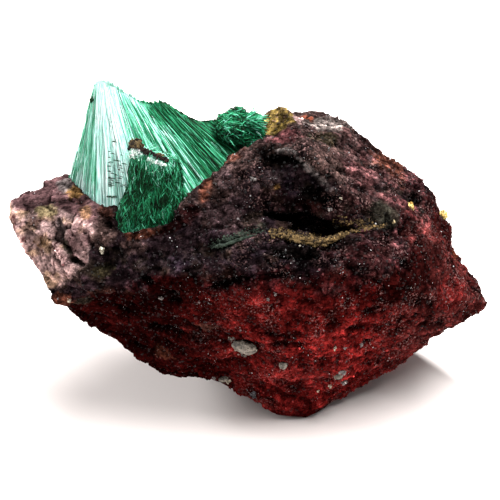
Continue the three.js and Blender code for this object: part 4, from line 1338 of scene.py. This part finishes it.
def build_nicks(tree, random):
    """Dark nicks across the fan's fibres, as painted shade in small cross-fractures, and the flake."""
    nicks = NICKS + [(place, random.uniform(*SMALL_NICK_HALVES), random.uniform(*SMALL_NICK_WIDTHS))
                     for place in random.uniform(*NICK_AREA, (SMALL_NICKS, 2))]
    out = NICK_LIFT * VIEW_BACK

    def ends(side):
        pixels = [(place[0] + side * half, place[1] + side * NICK_LEAN) for place, half, _ in nicks]
        return np.array([under_pixel(tree, pixel) for pixel in pixels]) + out

    widths = np.array([width for _, _, width in nicks])
    points, faces, _ = needles(ends(-1), ends(1), widths, np.tile(out, (len(nicks), 1)))
    flake, flake_faces, _ = gems(np.array([FLAKE]), np.array([FLAKE_SIZE]), random)
    points, faces, _ = joined([(points, faces, {}), (flake, flake_faces, {})])
    attributes = {"tone": np.full(len(points), 0.04), "fibre": fibre_of(points)}
    material = malachite_material("malachite_nicks", fine_per_mm=4, fine_share=0.06, roughness=0.6)
    add_piece("nicks", points, faces, material, "dark_malachite", [], attributes)


ROCK_CRUMBS = 16000
ROCK_CRUMB_SIZES = (0.07, 0.3)
GLINTS = 5000
GLINT_SIZES = (0.04, 0.14)
GLINT_BRIGHTNESS = (0.05, 0.6)
GLINT_COLOUR = (1.0, 0.96, 0.97)


def build_crumbs(points, faces, colours, share, random):
    """Angular grains of the rock itself, which stand out of its surface."""
    at, _ = scattered_on(points, faces, ROCK_CRUMBS, random, share)
    at = at[at[:, 2] > FOOT_FADE[1] / 2]
    size = mostly_small(ROCK_CRUMB_SIZES, 2, len(at), random)
    made, gem_faces, owner = gems(at, size, random)
    made = np.maximum(made, [-np.inf, -np.inf, 0])
    tree = KDTree(len(points))
    for i, point in enumerate(points):
        tree.insert(point, i)
    tree.balance()
    near = np.array([tree.find(point)[1] for point in at])
    vary = np.exp(random.normal(-0.1, 0.6, (len(at), 1)))
    attributes = {"colour": (colours[near] * vary)[owner]}
    material = crumbly_material("rock_crumbs", roughness=0.8, bump_mm=0.06)
    add_piece("rock_crumbs", made, gem_faces, material, "matrix", [], attributes, smooth=False)


def build_glints(points, faces, share, random):
    """Tiny bright crystals all over the rock."""
    at, normal = scattered_on(points, faces, GLINTS, random, share)
    at = (at + normal * 0.02)[at[:, 2] > 2 * GLINT_SIZES[1]]
    size = mostly_small(GLINT_SIZES, 3, len(at), random)
    made, gem_faces, owner = gems(at, size, random, thinnest=0.2, longest=1.6)
    bright = mostly_small(GLINT_BRIGHTNESS, 3, len(at), random)[owner]
    attributes = {"colour": bright[:, None] * np.array(GLINT_COLOUR)}
    nodes = Nodes("glints")
    material = nodes.finish(Base_Color=nodes.attribute("colour", "Color"), Roughness=0.2)
    add_piece("glints", made, gem_faces, material, "matrix", [], attributes, smooth=False)


# ---- Floor, light and camera ----

FLOOR_SIZE = 4000
FLOOR_COLOUR = (0.92, 0.85, 0.82)
CLIP = (0.01, 10)  # the nearest and the farthest that the camera sees, in metres
LIGHTS = {  # where each stands, its size across and along, and its watts
    "key_above": ((120, 80, 610), (1000, 110), 13.5),
    "left_side": ((-460, 90, 240), (260, 260), 3.0),
}
SKY_STRENGTH = 0.28


def aimed(name, data, place, direction):
    """A light or a camera that stands at a place and looks along a direction."""
    obj = put_in_scene(name, data)
    obj.location = Vector(place) * MM
    obj.rotation_mode = "QUATERNION"
    obj.rotation_quaternion = direction.to_track_quat("-Z", "Y")
    return obj


def build_floor():
    half = FLOOR_SIZE / 2
    corners = np.array([[-half, -half, 0], [half, -half, 0], [half, half, 0], [-half, half, 0]])
    mesh = new_mesh("floor", corners * MM, np.array([[0, 1, 2, 3]]))
    mesh.materials.append(Nodes("floor").finish(Base_Color=(*FLOOR_COLOUR, 1), Roughness=0.9))
    floor = put_in_scene("floor", mesh)


def build_lights():
    world = bpy.data.worlds.new("studio")
    world.use_nodes = True
    background = world.node_tree.nodes["Background"]
    background.inputs["Color"].default_value = (1, 1, 1, 1)
    background.inputs["Strength"].default_value = SKY_STRENGTH
    bpy.context.scene.world = world
    for name, (place, size, watts) in LIGHTS.items():
        light = bpy.data.lights.new(name, "AREA")
        light.shape = "ELLIPSE"
        light.size, light.size_y = size[0] * MM, size[1] * MM
        light.energy = watts
        aimed(name, light, place, Vector(VIEW_TARGET) - Vector(place))


def build_camera():
    camera = bpy.data.cameras.new("camera")
    camera.sensor_width = SENSOR
    camera.lens = SENSOR * VIEW_DISTANCE * PIXELS_PER_MM / PICTURE
    camera.clip_start, camera.clip_end = CLIP
    bpy.context.scene.camera = aimed("camera", camera, EYE, Vector(-VIEW_BACK))


RANDOM_SEED = 1409
BLOCK_BARE = 0.85  # the block has this share fewer crumbs than the rest of the rock

build_camera()
build_floor()
build_lights()
chance = np.random.default_rng(RANDOM_SEED)
rock_points, rock_faces, rock_colour, rock_glint, rock_block = build_rock()
build_crumbs(rock_points, rock_faces, rock_colour, 1 - BLOCK_BARE * rock_block, chance)
build_glints(rock_points, rock_faces, rock_glint, chance)
growth = [build_fan(chance), build_bundle(chance)]
build_tuft(chance)
growth_points, growth_faces, _ = joined([(*piece, {}) for piece in growth])
growth_tree = tree_of(growth_points, growth_faces)
build_brown_crust(growth_tree, chance)
build_nicks(growth_tree, chance)
rock_tree = tree_of(rock_points, rock_faces)
build_crusts(rock_tree, chance)
build_grains(rock_tree, chance)
bpy.context.scene.view_settings.view_transform = "Standard"
